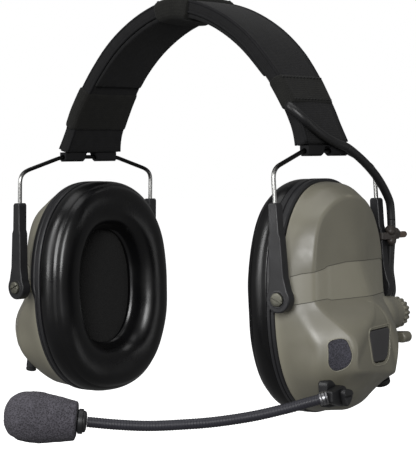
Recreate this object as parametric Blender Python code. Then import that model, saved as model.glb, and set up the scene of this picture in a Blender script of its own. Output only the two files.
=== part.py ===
"""Communication headset: padded headband, two sprung ear cups on wire yokes, and a boom microphone.

Lengths are in millimetres; they become metres as they enter a mesh. The origin is the underside of
the headband at the crown, +X is the wearer's left, +Y the wearer's back and +Z up. A cup's own
shapes are written in cup coordinates: x outward from its pivot axis, y rearwards, z up.
"""

import math

import bmesh
import bpy
from mathutils import Matrix, Vector

MM = 0.001
GAP = 0.3  # clearance between touching pieces

# Headband arch: a superellipse in the XZ plane, carried down to the yoke hinges.
ARCH_HALF = 74.2
ARCH_RISE = 77.0
ARCH_BASE_Z = -72.5
ARCH_POWER = 1.7
BAND_HALF = 16.6
END_FLARE = 1.6
SLEEVE_THICK = 5.6
CROWN_LIFT = 1.7  # the sleeve runs further out over the crown pad
CROWN_PAD_THICK = 2.1
CAVITY_HALF, CAVITY_THICK = 13.2, 3.6
SPRING_HALF, SPRING_THICK = 10.0, 1.0
BAND_STATIONS = 31
RIVET_SHARE = 0.775
SLEEVE_END = 0.872  # share of the arch at the sleeve's lower end
PAD_END = 0.56
WRAP_THICK = 1.1
CROWN_WRAP = (-0.125, 0.10)
LEFT_WRAP = (0.600, 0.712)
RIGHT_WRAP = (-0.765, -0.600)

# Yokes: sprung wire, hinge across the band end, legs down to the cup pivots.
HINGE_X = 73.75
HINGE_Z = -63.75
TOE = math.radians(4.65)  # each cup faces slightly backwards
WIRE_DIAMETER = 2.0
WIRE_BORE = WIRE_DIAMETER / 2 + GAP
TAB_HALF = 16.9
PIVOT_OUT = 3.51  # pivot axis outward of the hinge axis
PIVOT_DROP = -63.75  # pivot axis below the hinge axis
BEND_OUT = 0.85
BEND_DROP = -7.76
LEG_Y = 43.92
LEG_END = 19.0  # wire end above the pivot axis

ARM_INNER = 41.4
ARM_OUTER = 46.4
ARM_TOP = 41.5
ARM_DISC = 5.7

# Cup outline and depths.
CUP_POWER = 2.35
CUP_CENTRE_Z = -1.5
SHELL_HALF_Y, SHELL_HALF_Z = 38.4, 51.4
RIM_HALF_Y, RIM_HALF_Z = 39.8, 52.8
SHELL_BASE = -3.0
RING_BACK = -10.0
SEAL_FACE = -24.0
SHELL_WALL = 1.8
CUP_SPOKES = 40
LOWER_FACE = 25.0
UPPER_FACE = 14.2
SKIRT_DROP, SKIRT_FLARE = 3.0, 0.9  # the shell's lower half reaches further in and is a little wider

# Boss on the cup's rear lower side, with its axis along y.
BOSS_X, BOSS_Z, BOSS_R = 9.0, -12.0, 8.0
BOSS_END = 37.1
KNOB_R, KNOB_ROOT = 7.4, 6.9
KNOB_LONG, CAP_LONG = 5.8, 4.7
LEVER_X, LEVER_Z = 9.5, -23.3
LEVER_START, LEVER_END = 36.2, 43.6
GLAND = (-1.2, 41.6, -17.0)
SOCKET_START, SOCKET_END = (8.0, 23.5, -28.4), (8.0, 28.0, -41.6)
SOCKET_R, SOCKET_CAP_R = 3.9, 4.2
TIE_Z, TIE_HALF = 23.5, 1.7

# Boom: thumb-screw pivot under the front of the left cup, gooseneck to the mouth.
BOOM_Y, BOOM_Z = -26.6, -42.5
SOCKET_FACE = 16.0  # the elbow turns on this face of the boom's socket
PLUG_START, PLUG_END = (12.5, -25.2, -30.5), (15.3, -25.2, -43.8)
BOOM_HEADING = math.radians(50.0)  # from straight ahead towards the wearer's right
GOOSENECK_DIAMETER = 4.7
LEAD_DIAMETER = 4.0
# Lead on the band: (share, across, height over the band's middle surface).
LEAD_ON_BAND = (
    (0.729, -20.2, 2.4),
    (0.762, -19.4, 4.3),
    (0.794, -16.8, 5.4),
    (0.831, -10.4, 5.5),
    (0.858, -3.6, 5.5),
)

GREEN = (0.140, 0.132, 0.102)
BLACK_PLASTIC = (0.022, 0.022, 0.025)
RUBBER = (0.012, 0.012, 0.013)
TEXTILE = (0.010, 0.010, 0.011)
FOAM = (0.060, 0.058, 0.066)
STEEL = (0.55, 0.54, 0.52)
SCREW_METAL = (0.22, 0.21, 0.18)
HOSE_GREY = (0.060, 0.060, 0.075)
TIE_BROWN = (0.080, 0.055, 0.040)
BOARD_GREEN = (0.02, 0.12, 0.04)

# Directions round the cup: angle of the base point in degrees from the rear, then the turn of the
# wall and the edge of the outer face, each as (y, z, x).
SPOKES = (
    (0, (35.6, -1.5, 3.5), (27.6, -1.0, 10.5)),
    (30, (34.0, 18.5, 3.2), (27.0, 19.0, 10.0)),
    (55, (28.3, 34.0, 3.0), (21.5, 33.0, 10.0)),
    (74, (13.8, 46.6, 3.0), (12.0, 40.8, 11.0)),
    (90, (0.0, 48.8, 3.2), (0.0, 43.2, 11.5)),
    (106, (-14.2, 46.5, 3.0), (-12.5, 41.8, 10.8)),
    (125, (-28.4, 34.6, 3.0), (-25.6, 33.5, 9.8)),
    (150, (-34.6, 18.5, 3.2), (-30.8, 17.5, 9.8)),
    (180, (-35.3, -2.0, 3.6), (-30.6, -1.5, 10.0)),
    (207, (-35.8, -20.0, 12.2), (-25.8, -17.8, 25.6)),
    (228, (-33.2, -35.0, 11.5), (-23.2, -31.2, 26.2)),
    (251, (-14.4, -50.0, 11.4), (-10.6, -33.4, 25.8)),
    (270, (2.5, -50.8, 11.0), (1.0, -34.6, 25.0)),
    (289, (13.5, -46.4, 10.5), (9.5, -35.8, 24.8)),
    (312, (27.0, -38.6, 9.8), (14.6, -35.2, 23.8)),
    (335, (33.2, -20.0, 9.6), (16.0, -20.0, 24.2)),
)

# Outlines on the cup's outer face, as (y, z).
MIC_WINDOW = ((-32.5, -18.6), (-27.8, -17.2), (-26.6, -25.5), (-27.0, -29.8), (-29.7, -31.7), (-32.3, -28.6))
PUSH_PAD = ((-12.4, -15.4), (7.0, -15.0), (5.0, -27.6), (2.2, -30.2), (-8.6, -30.0))
BRIDGE_TOP = (
    (-42, 6.5),
    (-34, 10.4),
    (-26, 11.8),
    (-24, 12.2),
    (-22.2, 13.2),
    (-10, 14.4),
    (25, 14.0),
    (42, 6.5),
)
BRIDGE_LOW = (
    (42, -4.4),
    (30, -1.4),
    (0, -1.1),
    (-20.4, -1.4),
    (-22.6, -0.7),
    (-30, -1.3),
    (-42, -4.4),
)
BOOM_SOCKET = ((-33.1, -35.5), (-17.1, -35.5), (-15.6, -42.0), (-19.6, -47.5), (-32.1, -47.5))
TIE_INNER = ((-5.4, 41.0), (2.7, 41.0), (5.6, 48.0), (4.8, 51.9), (0.9, 52.2), (-5.4, 46.8))
TIE_OUTER = ((-6.3, 40.3), (3.3, 40.3), (6.6, 48.0), (5.6, 52.9), (0.5, 53.2), (-6.3, 47.4))
WINDSCREEN = (
    (5.2, 0),
    (8.0, 0.2),
    (8.5, 1.4),
    (10.0, 9.0),
    (11.0, 17.0),
    (10.8, 22.0),
    (9.3, 26.8),
    (5.7, 30.4),
    (0, 31.6),
)

MATERIALS = {}


# ---------------------------------------------------------------- scene and mesh helpers
def clear_scene():
    for item in list(bpy.data.objects):
        bpy.data.objects.remove(item, do_unlink=True)


def material(name, colour, roughness, metallic=0.0):
    if name not in MATERIALS:
        made = bpy.data.materials.new(name)
        made.use_nodes = True
        shader = made.node_tree.nodes["Principled BSDF"]
        shader.inputs["Base Color"].default_value = (*colour, 1.0)
        shader.inputs["Roughness"].default_value = roughness
        shader.inputs["Metallic"].default_value = metallic
        MATERIALS[name] = made
    return MATERIALS[name]


def empty(name, location, parent=None, turn=0.0):
    made = bpy.data.objects.new(name, None)
    made.location = [value * MM for value in location]
    made.rotation_euler = (0.0, 0.0, turn)
    made.parent = parent
    bpy.context.collection.objects.link(made)
    return made


def mesh_object(name, bm, look, parent=None, side=1, sharp=40.0):
    """Turns a closed bmesh in millimetres into an object; side -1 mirrors it across the YZ plane."""
    for vert in bm.verts:
        vert.co = Vector((side * vert.co.x, vert.co.y, vert.co.z)) * MM
    bmesh.ops.recalc_face_normals(bm, faces=bm.faces)
    if bm.calc_volume(signed=True) < 0:
        bmesh.ops.reverse_faces(bm, faces=bm.faces)
    mesh = bpy.data.meshes.new(name)
    bm.to_mesh(mesh)
    bm.free()
    mesh.shade_smooth()
    mesh.set_sharp_from_angle(angle=math.radians(sharp))
    made = bpy.data.objects.new(name, mesh)
    bpy.context.collection.objects.link(made)
    made.parent = parent
    mesh.materials.append(look)
    return made


def loft(rings, closed=False, caps=True):
    """Skins a list of equal rings of points. closed joins the last ring to the first."""
    bm = bmesh.new()
    rows = [[bm.verts.new(point) for point in ring] for ring in rings]
    count = len(rows[0])
    pairs = list(zip(rows, rows[1:] + rows[:1])) if closed else list(zip(rows, rows[1:]))
    for low, high in pairs:
        for i in range(count):
            j = (i + 1) % count
            bm.faces.new((low[i], low[j], high[j], high[i]))
    if caps and not closed:
        bm.faces.new(rows[0][::-1])
        bm.faces.new(rows[-1])
    return bm


def domed(rings):
    """Skins rings whose two ends close on a point in the middle of the end ring."""
    bm = loft(rings, caps=False)
    bm.verts.ensure_lookup_table()
    count = len(rings[0])
    for start in (0, len(bm.verts) - count):
        row = bm.verts[start : start + count]
        middle = bm.verts.new(sum((vert.co for vert in row), Vector()) / count)
        bm.verts.ensure_lookup_table()
        for i in range(count):
            bm.faces.new((row[i], row[(i + 1) % count], middle))
    return bm


def prism(outline, axis, low, high):
    """Extrudes a flat outline along an axis. The outline gives the other two axes in X, Y, Z order."""
    place = {
        "X": lambda a, b, depth: (depth, a, b),
        "Y": lambda a, b, depth: (a, depth, b),
        "Z": lambda a, b, depth: (a, b, depth),
    }[axis]
    return loft([[place(a, b, depth) for a, b in outline] for depth in (low, high)])


def box(low, high):
    corners = ((low[0], low[1]), (high[0], low[1]), (high[0], high[1]), (low[0], high[1]))
    return prism(corners, "Z", low[2], high[2])


def turned(profile, centre, direction, segments=20):
    """Turns (radius, height) points about a line; a radius of 0 closes the end at a point."""
    spin = Vector((0, 0, 1)).rotation_difference(Vector(direction)).to_matrix()
    bm = bmesh.new()
    rows = []
    for radius, height in profile:
        if radius == 0:
            rows.append([bm.verts.new(spin @ Vector((0, 0, height)) + Vector(centre))])
            continue
        row = []
        for i in range(segments):
            angle = math.tau * i / segments
            point = Vector((radius * math.cos(angle), radius * math.sin(angle), height))
            row.append(bm.verts.new(spin @ point + Vector(centre)))
        rows.append(row)
    for low, high in zip(rows, rows[1:]):
        for i in range(segments):
            j = (i + 1) % segments
            corners = [low[i % len(low)], low[j % len(low)], high[j % len(high)], high[i % len(high)]]
            bm.faces.new(list(dict.fromkeys(corners)))
    for row in (rows[0], rows[-1]):
        if len(row) > 1:
            bm.faces.new(row)
    return bm


def cylinder(radius, start, end, segments=20):
    start, end = Vector(start), Vector(end)
    length = (end - start).length
    return turned(((radius, 0), (radius, length)), start, end - start, segments)


def cut(target, tool, operation="DIFFERENCE", solver="EXACT"):
    """Cuts, joins or intersects with a hidden tool object."""
    tool.hide_render = True
    tool.display_type = "WIRE"
    modifier = target.modifiers.new(operation.title() + "_" + tool.name, "BOOLEAN")
    modifier.operation = operation
    modifier.object = tool
    modifier.solver = solver


def smooth_route(points, steps):
    """Points along a Catmull-Rom curve through the given ones."""
    points = [Vector(point) for point in points]
    ends = [2 * points[0] - points[1], *points, 2 * points[-1] - points[-2]]
    route = []
    for a, b, c, d in zip(ends, ends[1:], ends[2:], ends[3:]):
        for i in range(steps):
            t = i / steps
            route.append(
                0.5
                * (
                    2 * b
                    + (c - a) * t
                    + (2 * a - 5 * b + 4 * c - d) * t**2
                    + (3 * b - a - 3 * c + d) * t**3
                )
            )
    return route + [points[-1]]


def rod(name, route, diameter, look, parent=None, side=1, sides=2):
    """A round rod or cord as a bevelled curve with filled caps."""
    curve = bpy.data.curves.new(name, "CURVE")
    curve.dimensions = "3D"
    curve.bevel_depth = diameter / 2 * MM
    curve.bevel_resolution = sides
    curve.use_fill_caps = True
    spline = curve.splines.new("POLY")
    spline.points.add(len(route) - 1)
    for point, place in zip(spline.points, route):
        point.co = (side * place[0] * MM, place[1] * MM, place[2] * MM, 1)
    curve.materials.append(look)
    made = bpy.data.objects.new(name, curve)
    bpy.context.collection.objects.link(made)
    made.parent = parent
    return made


def rounded(points, radius, steps=3):
    """Rounds the corners of a closed flat outline."""
    count = len(points)
    result = []
    for i in range(count):
        before, here, after = (Vector(points[(i + k) % count]) for k in (-1, 0, 1))
        start = here + (before - here).normalized() * radius
        end = here + (after - here).normalized() * radius
        for k in range(steps + 1):
            t = k / steps
            result.append(tuple((1 - t) ** 2 * start + 2 * t * (1 - t) * here + t**2 * end))
    return result


# ---------------------------------------------------------------- headband
def arch_angle(share):
    """Parameter of the arch at a share from -1 (wearer's right end) to 1 (left end)."""
    return math.pi / 2 * (1 - share)


def arch_point(share):
    angle = arch_angle(share)
    power = 2 / ARCH_POWER
    across = math.copysign(abs(math.cos(angle)) ** power, share)
    return Vector((ARCH_HALF * across, 0, ARCH_BASE_Z + ARCH_RISE * abs(math.sin(angle)) ** power))


def arch_frame(share):
    """Centre of the band, its outward normal and the direction of its width."""
    step = 0.004
    centre = arch_point(share)
    along = (arch_point(min(share + step, 1)) - arch_point(max(share - step, -1))).normalized()
    normal = Vector((-along.z, 0, along.x))
    ends = min(1.0, max(0.0, (abs(share) - 0.5) / 0.2))
    twist = Matrix.Rotation(math.copysign(TOE, share) * ends, 3, "Z")
    return centre, twist @ normal, twist @ Vector((0, 1, 0))


def band_shares(low, high, count):
    return [low + (high - low) * i / (count - 1) for i in range(count)]


def band_ring(share, half, inner, outer, corner=1.2):
    """A rounded rectangle across the band, from inner to outer along its normal."""
    centre, normal, wide = arch_frame(share)
    corners = ((-half, inner), (half, inner), (half, outer), (-half, outer))
    return [centre + wide * a + normal * b for a, b in rounded(corners, corner, 1)]


def band_tube(low, high, count, outside, inside):
    """A sleeve along the band; outside and inside give (half width, inner, outer) at a share."""
    shares = band_shares(low, high, count)
    outer = [band_ring(share, *outside(share)) for share in shares]
    inner = [band_ring(share, *inside(share), corner=0.5) for share in shares]
    return loft(outer + inner[::-1], closed=True)


def band_strip(low, high, count, outside, corner=0.3):
    shares = band_shares(low, high, count)
    return loft([band_ring(share, *outside(share), corner=corner) for share in shares])


def crown_share(share):
    """1 over the crown, falling smoothly to 0 towards the band's ends."""
    t = min(1.0, max(0.0, (abs(share) - 0.35) / 0.35))
    return 1 - t * t * (3 - 2 * t)


def sleeve_section(share):
    flare = END_FLARE * max(0.0, (abs(share) - 0.78) / (SLEEVE_END - 0.78)) ** 1.5
    lift = CROWN_LIFT * crown_share(share)
    return BAND_HALF + flare, lift - SLEEVE_THICK / 2, lift + SLEEVE_THICK / 2 + flare / 3


def cavity_section(share):
    lift = CROWN_LIFT * crown_share(share)
    return CAVITY_HALF, lift - CAVITY_THICK / 2, lift + CAVITY_THICK / 2


def spring_section(share):
    inner = CROWN_LIFT * crown_share(share) - CAVITY_THICK / 2 + GAP
    return SPRING_HALF, inner, inner + SPRING_THICK


def pad_section(share):
    outer = CROWN_LIFT * crown_share(share) - SLEEVE_THICK / 2 - GAP
    thick = CROWN_PAD_THICK * (0.55 + 0.45 * crown_share(share))
    return BAND_HALF - 0.6, outer - thick, outer


def wrap_sections(padded):
    """The inside and outside of a strap that goes round the band."""

    def inside(share):
        half, inner, outer = sleeve_section(share)
        if padded:
            inner = pad_section(share)[1]
        return half + GAP, inner - GAP, outer + GAP

    def outside(share):
        half, inner, outer = inside(share)
        return half + WRAP_THICK, inner - 0.65 * WRAP_THICK, outer + WRAP_THICK

    return outside, inside


def rivet_pin(side, radius, low, high):
    """A pin or a hole through the spring and the band end, along the band's normal."""
    centre, normal, _ = arch_frame(side * RIVET_SHARE)
    return cylinder(radius, centre + normal * low, centre + normal * high, 12)


def make_headband():
    textile = material("textile", TEXTILE, 0.9)
    plastic = material("black_plastic", BLACK_PLASTIC, 0.45)
    steel = material("steel", STEEL, 0.3, 1.0)

    sleeve = band_tube(-SLEEVE_END, SLEEVE_END, BAND_STATIONS, sleeve_section, cavity_section)
    mesh_object("band_cover", sleeve, textile)
    pad = band_strip(-PAD_END, PAD_END, 19, pad_section, corner=0.9)
    mesh_object("crown_pad", pad, textile)
    for name, (low, high), padded in (
        ("wrap_crown", CROWN_WRAP, True),
        ("wrap_left", LEFT_WRAP, False),
        ("wrap_right", RIGHT_WRAP, False),
    ):
        outside, inside = wrap_sections(padded)
        mesh_object(name, band_tube(low, high, 5, outside, inside), textile)

    spring = mesh_object("band_spring", band_strip(-0.81, 0.81, 27, spring_section), steel)
    for side, word in ((1, "left"), (-1, "right")):
        hole = mesh_object("rivet_hole_" + word, rivet_pin(side, 1.9, -4, 4), steel)
        cut(spring, hole)
        mesh_object("band_rivet_" + word, rivet_pin(side, 1.6, -1.6, 1.5), steel)
        cut(make_band_end(side, word, plastic), hole)


def make_band_end(side, word, look):
    """Plate inside the sleeve's end, with two tabs below that carry the yoke wire."""
    hinge = bpy.data.objects["hinge_" + word]
    centre_line = []
    for share in (0.735, 0.78, 0.82, SLEEVE_END):
        centre, normal, _ = arch_frame(share)
        normal = Vector((math.hypot(normal.x, normal.y), 0, normal.z))
        centre_line.append((centre - Vector((HINGE_X, 0, HINGE_Z)), normal))
    near = [((point + normal * -0.1).x, (point + normal * -0.1).z) for point, normal in centre_line]
    far = [((point + normal * 1.3).x, (point + normal * 1.3).z) for point, normal in centre_line]
    low = -1.5
    plate = near + [(near[-1][0], low), (far[-1][0], low)] + far[::-1]
    half = CAVITY_HALF - 0.6
    body = mesh_object("band_end_" + word, prism(plate, "Y", -half, half), look, hinge, side)
    block = [(-2.3, 2.4), (2.3, 2.4), (2.3, -1.4), (1.4, -2.3), (-1.4, -2.3), (-2.3, -1.4)]
    tabs = mesh_object("tabs_" + word, prism(block, "Y", -TAB_HALF, TAB_HALF), look, hinge, side)
    cut(body, tabs, "UNION")
    notch = [(-3.0, 2.0), (3.0, 2.0), (5.6, -3.5), (-5.6, -3.5)]
    cut(body, mesh_object("notch_" + word, prism(notch, "X", -4, 4), look, hinge, side))
    bore = cylinder(WIRE_BORE, (0, -TAB_HALF - 2, 0), (0, TAB_HALF + 2, 0), 12)
    cut(body, mesh_object("wire_bore_" + word, bore, look, hinge, side))
    return body


# ---------------------------------------------------------------- yokes
def leg_lean(z):
    """How far a yoke leg stands inward of the pivot axis at height z above it."""
    return (BEND_OUT - PIVOT_OUT) * z / (BEND_DROP - PIVOT_DROP)


def wire_route():
    """Half of the yoke wire, from the middle of the hinge to the end of the front leg."""
    bend_z = BEND_DROP
    corner = [
        (0, 0, 0),
        (0, -TAB_HALF - 0.6, 0),
        (0.05, -TAB_HALF - 2.2, -0.25),
        (0.72, -LEG_Y + 4.4, bend_z + 1.55),
        (0.82, -LEG_Y + 1.9, bend_z + 0.35),
        (0.90, -LEG_Y + 0.45, bend_z - 1.4),
        (PIVOT_OUT + leg_lean(52.0), -LEG_Y, PIVOT_DROP + 52.0),
        (PIVOT_OUT + leg_lean(LEG_END), -LEG_Y, PIVOT_DROP + LEG_END),
    ]
    return corner


def make_yoke(side, word):
    hinge = bpy.data.objects["hinge_" + word]
    slide = bpy.data.objects["slide_" + word]
    steel = material("steel", STEEL, 0.3, 1.0)
    plastic = material("black_plastic", BLACK_PLASTIC, 0.45)
    front = wire_route()
    rear = [(x, -y, z) for x, y, z in front]
    rod("yoke_wire_" + word, front[::-1] + rear[1:], WIRE_DIAMETER, steel, hinge, side)
    for end, low, high in (("front", -ARM_OUTER, -ARM_INNER), ("rear", ARM_INNER, ARM_OUTER)):
        name = "yoke_arm_" + end + "_" + word
        arm = mesh_object(name, prism(arm_outline(), "Y", low, high), plastic, slide, side)
        middle = (low + high) / 2
        y = math.copysign(LEG_Y, middle)
        bore = cylinder(WIRE_BORE, (leg_lean(8.5), y, 8.5), (leg_lean(44), y, 44), 12)
        cut(arm, mesh_object(name + "_bore", bore, plastic, slide, side))
        eye = cylinder(2.0, (0, low - 1, 0), (0, high + 1, 0), 16)
        cut(arm, mesh_object(name + "_eye", eye, plastic, slide, side))


def arm_outline():
    """Side view of an arm: a narrow neck for the wire, widening to the pivot disc."""
    neck = [(2.45, ARM_TOP - 0.7), (2.5, 28.0), (3.1, 26.5), (3.5, 10.0)]
    left = [(x + leg_lean(z), z) for x, z in neck]
    right = [(-x + leg_lean(z), z) for x, z in neck]
    top = [(1.8 + leg_lean(ARM_TOP), ARM_TOP), (-1.8 + leg_lean(ARM_TOP), ARM_TOP)]
    arc = []
    for i in range(13):
        angle = math.radians(40 - 260 * i / 12)
        arc.append((ARM_DISC * math.cos(angle), ARM_DISC * math.sin(angle)))
    return left + arc + right[::-1] + top[::-1]


# ---------------------------------------------------------------- ear cups
def superellipse(half_y, half_z, angle, x):
    c, s = math.cos(angle), math.sin(angle)
    radius = (abs(c / half_y) ** CUP_POWER + abs(s / half_z) ** CUP_POWER) ** (-1 / CUP_POWER)
    return Vector((x, radius * c, CUP_CENTRE_Z + radius * s))


def oval(half_y, half_z, x, count=CUP_SPOKES):
    return [superellipse(half_y, half_z, math.tau * i / count, x) for i in range(count)]


def spoke(angle):
    """The base point, wall turn and face edge in one direction, read smoothly from SPOKES."""
    degrees = math.degrees(angle) % 360
    count = len(SPOKES)
    index = max(i for i in range(count) if SPOKES[i][0] <= degrees)
    start = SPOKES[index][0]
    end = SPOKES[(index + 1) % count][0] or 360
    t = (degrees - start) / (end - start)
    found = []
    for ring in (1, 2):
        a, b, c, d = (Vector(SPOKES[(index + k) % count][ring]) for k in (-1, 0, 1, 2))
        point = 0.5 * (
            2 * b + (c - a) * t + (2 * a - 5 * b + 4 * c - d) * t**2 + (3 * b - a - 3 * c + d) * t**3
        )
        found.append(Vector((point.z, point.x, point.y)))
    skirt = lower_share(angle)
    half_y, half_z = SHELL_HALF_Y + SKIRT_FLARE * skirt, SHELL_HALF_Z + SKIRT_FLARE * skirt
    return [superellipse(half_y, half_z, angle, SHELL_BASE - SKIRT_DROP * skirt), *found]


def lower_share(angle):
    """0 round the cup's upper half, rising to 1 just below the pivots."""
    t = min(1.0, max(0.0, (0.06 - math.sin(angle)) / 0.2))
    return t * t * (3 - 2 * t)


def face_depth(y, z):
    """Depth of the outer face away from its edges: shallow above, full over the electronics."""
    t = min(1.0, max(0.0, (8.0 - z) / 21.0))
    blend = t * t * (3 - 2 * t)
    dome = UPPER_FACE - 1.2 * (y / 26) ** 2 - 0.8 * ((z - 12) / 30) ** 2
    return dome * (1 - blend) + LOWER_FACE * blend


def shell_rings(count):
    """Rings of the outer surface from the base to the middle of the face."""
    spokes = [spoke(math.tau * i / count) for i in range(count)]
    middle = Vector((0, 1.0, -4.0))
    rings = [[s[0] for s in spokes], [s[1] for s in spokes], [s[2] for s in spokes]]
    for inward in (0.22, 0.45, 0.68, 0.88):
        ring = []
        for _, _, edge in spokes:
            y = edge.y + (middle.y - edge.y) * inward
            z = edge.z + (middle.z - edge.z) * inward
            weight = inward * (1.4 - 0.4 * inward)
            ring.append(Vector((edge.x + (face_depth(y, z) - edge.x) * weight, y, z)))
        rings.append(ring)
    return rings


def offset_rings(grow, count=CUP_SPOKES):
    """The outer surface's rings moved along its normals; the base ring moves in its own plane."""
    rings = shell_rings(count)
    bm = domed(rings)
    bmesh.ops.recalc_face_normals(bm, faces=bm.faces)
    bm.normal_update()
    bm.verts.ensure_lookup_table()
    moved = []
    for row in range(len(rings)):
        verts = bm.verts[row * count : (row + 1) * count]
        moved.append([vert.co + vert.normal * grow for vert in verts])
    for i, point in enumerate(rings[0]):
        flat = Vector((0, point.y, point.z - CUP_CENTRE_Z)).normalized()
        moved[0][i] = point + flat * grow
    bm.free()
    return moved


def shell_solid(grow, base=SHELL_BASE - 6.0):
    """The cup's outer form as a full solid, grown by some clearance, for cutting its neighbours."""
    rings = offset_rings(grow)
    return domed([[Vector((base, point.y, point.z)) for point in rings[0]], *rings])


def shell_wall():
    """The cup shell itself: outer surface, inner surface and the rim between them."""
    return domed(offset_rings(-SHELL_WALL)[::-1] + shell_rings(CUP_SPOKES))


def make_cup(side, word):
    pivot = bpy.data.objects["pivot_" + word]
    green = material("green_shell", GREEN, 0.55)
    plastic = material("black_plastic", BLACK_PLASTIC, 0.45)
    rubber = material("rubber", RUBBER, 0.35)
    foam = material("foam", FOAM, 0.95)
    metal = material("screw_metal", SCREW_METAL, 0.4, 1.0)

    def add(name, bm, look):
        return mesh_object(name, bm, look, pivot, side)

    def part(name, bm, look):
        return add(name + "_" + word, bm, look)

    shell = part("cup_shell", shell_wall(), green)
    window = rounded(MIC_WINDOW, 1.4, 1)
    pad = rounded(PUSH_PAD, 2.2, 1)
    # The exact solver loses the whole shell at the pad's hole and the whole insert on the slanted
    # wall, so these four cuts use the other one.
    for name, outline in (("window_hole", window), ("pad_hole", pad)):
        cut(shell, part(name, prism(outline, "X", 8, 40), green), solver="MANIFOLD")

    window_small = shrink(window, 1.6 * GAP)
    insert = part("mic_window", prism(window_small, "X", 4, 40), foam)
    cut(insert, part("window_top", shell_solid(-0.4), foam), "INTERSECT", "MANIFOLD")
    cut(insert, part("window_back", shell_solid(-2.4, SHELL_BASE - 12), foam), solver="MANIFOLD")
    insert = part("push_pad", prism(shrink(pad, 1.6 * GAP), "X", LOWER_FACE - 2.6, LOWER_FACE + 0.9), rubber)

    bridge = part("bridge_band", prism(BRIDGE_TOP + BRIDGE_LOW, "X", ARM_DISC + GAP, 30), green)
    cut(bridge, part("bridge_outer", shell_solid(1.1), green), "INTERSECT")
    cut(bridge, part("bridge_inner", shell_solid(1.9 * GAP), green))

    boss = part("rear_boss", cylinder(BOSS_R, (BOSS_X, 18, BOSS_Z), (BOSS_X, BOSS_END, BOSS_Z), 24), green)
    cut(boss, part("boss_foot", shell_solid(GAP), green))
    for way, end in ((-1, "front"), (1, "rear")):
        bush = prism(flatted_circle(5.4, SHELL_BASE + 0.1), "Y", *sorted((way * 34, way * (ARM_INNER - GAP))))
        cut(shell, part("bush_" + end, bush, green), "UNION")
        thread = cylinder(1.5, (0, way * 60, 0), (0, way * 37.5, 0), 12)
        cut(shell, part("thread_" + end, thread, green))
        part("pivot_screw_" + end, pivot_screw(way), metal)

    ring = [oval(RIM_HALF_Y, RIM_HALF_Z, x) for x in (SHELL_BASE - GAP, RING_BACK)]
    hole = [oval(24.0, 34.0, x) for x in (RING_BACK, SHELL_BASE - GAP)]
    for line in (ring[0], hole[1]):
        for i, point in enumerate(line):
            point.x -= SKIRT_DROP * lower_share(math.tau * i / CUP_SPOKES)
    part("base_ring", loft(ring + hole, closed=True), plastic)
    part("ear_seal", loft(seal_rings(), closed=True), rubber)
    liner = [oval(23.4, 33.4, x) for x in (RING_BACK + 1.0, RING_BACK + 4.5)]
    part("foam_liner", loft(liner), foam)
    cone = ((19.0, 0), (19.0, 1.6), (9.5, 4.6), (9.5, 7.0), (0, 7.0))
    driver = turned(((0, 0), *cone), (SHELL_BASE - 0.8, 0, 2.0), (1, 0, 0), 24)
    part("speaker_driver", driver, plastic)


def shrink(outline, amount):
    """Moves the points of a clockwise flat outline inward, square to its edges."""
    moved = []
    for i, point in enumerate(outline):
        along = (Vector(outline[(i + 1) % len(outline)]) - Vector(outline[i - 1])).normalized()
        moved.append((point[0] + along.y * amount, point[1] - along.x * amount))
    return moved


def seal_rings():
    """Cross-section rings of the ear cushion: flat back, full rolled front and a wide ear hole."""
    profile = (
        (39.3, 52.3, RING_BACK - GAP),
        (39.6, 52.6, -14.5),
        (38.6, 51.6, -19.5),
        (34.0, 46.6, -23.2),
        (29.2, 40.8, SEAL_FACE),
        (24.2, 34.6, -22.6),
        (20.6, 30.6, -19.0),
        (19.2, 29.2, -15.0),
        (18.8, 28.8, RING_BACK - GAP),
    )
    return [oval(half_y, half_z, x, 36) for half_y, half_z, x in profile]


def flatted_circle(radius, flat_x, count=20):
    """A circle about the pivot axis with its inner side cut flat, clear of the base ring."""
    turns = [math.tau * (i + 0.5) / count for i in range(count)]
    return [(max(flat_x, radius * math.cos(turn)), radius * math.sin(turn)) for turn in turns]


def pivot_screw(way):
    """Slotted screw through an arm's eye into its bush."""
    head = way * (ARM_OUTER + 1.2)
    profile = ((0, 0), (3.0, 0), (3.0, 0.9), (1.2, 0.9), (1.2, abs(head) - 38.2), (0, abs(head) - 38.2))
    return turned(profile, (0, head, 0), (0, -way, 0), 16)


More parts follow.
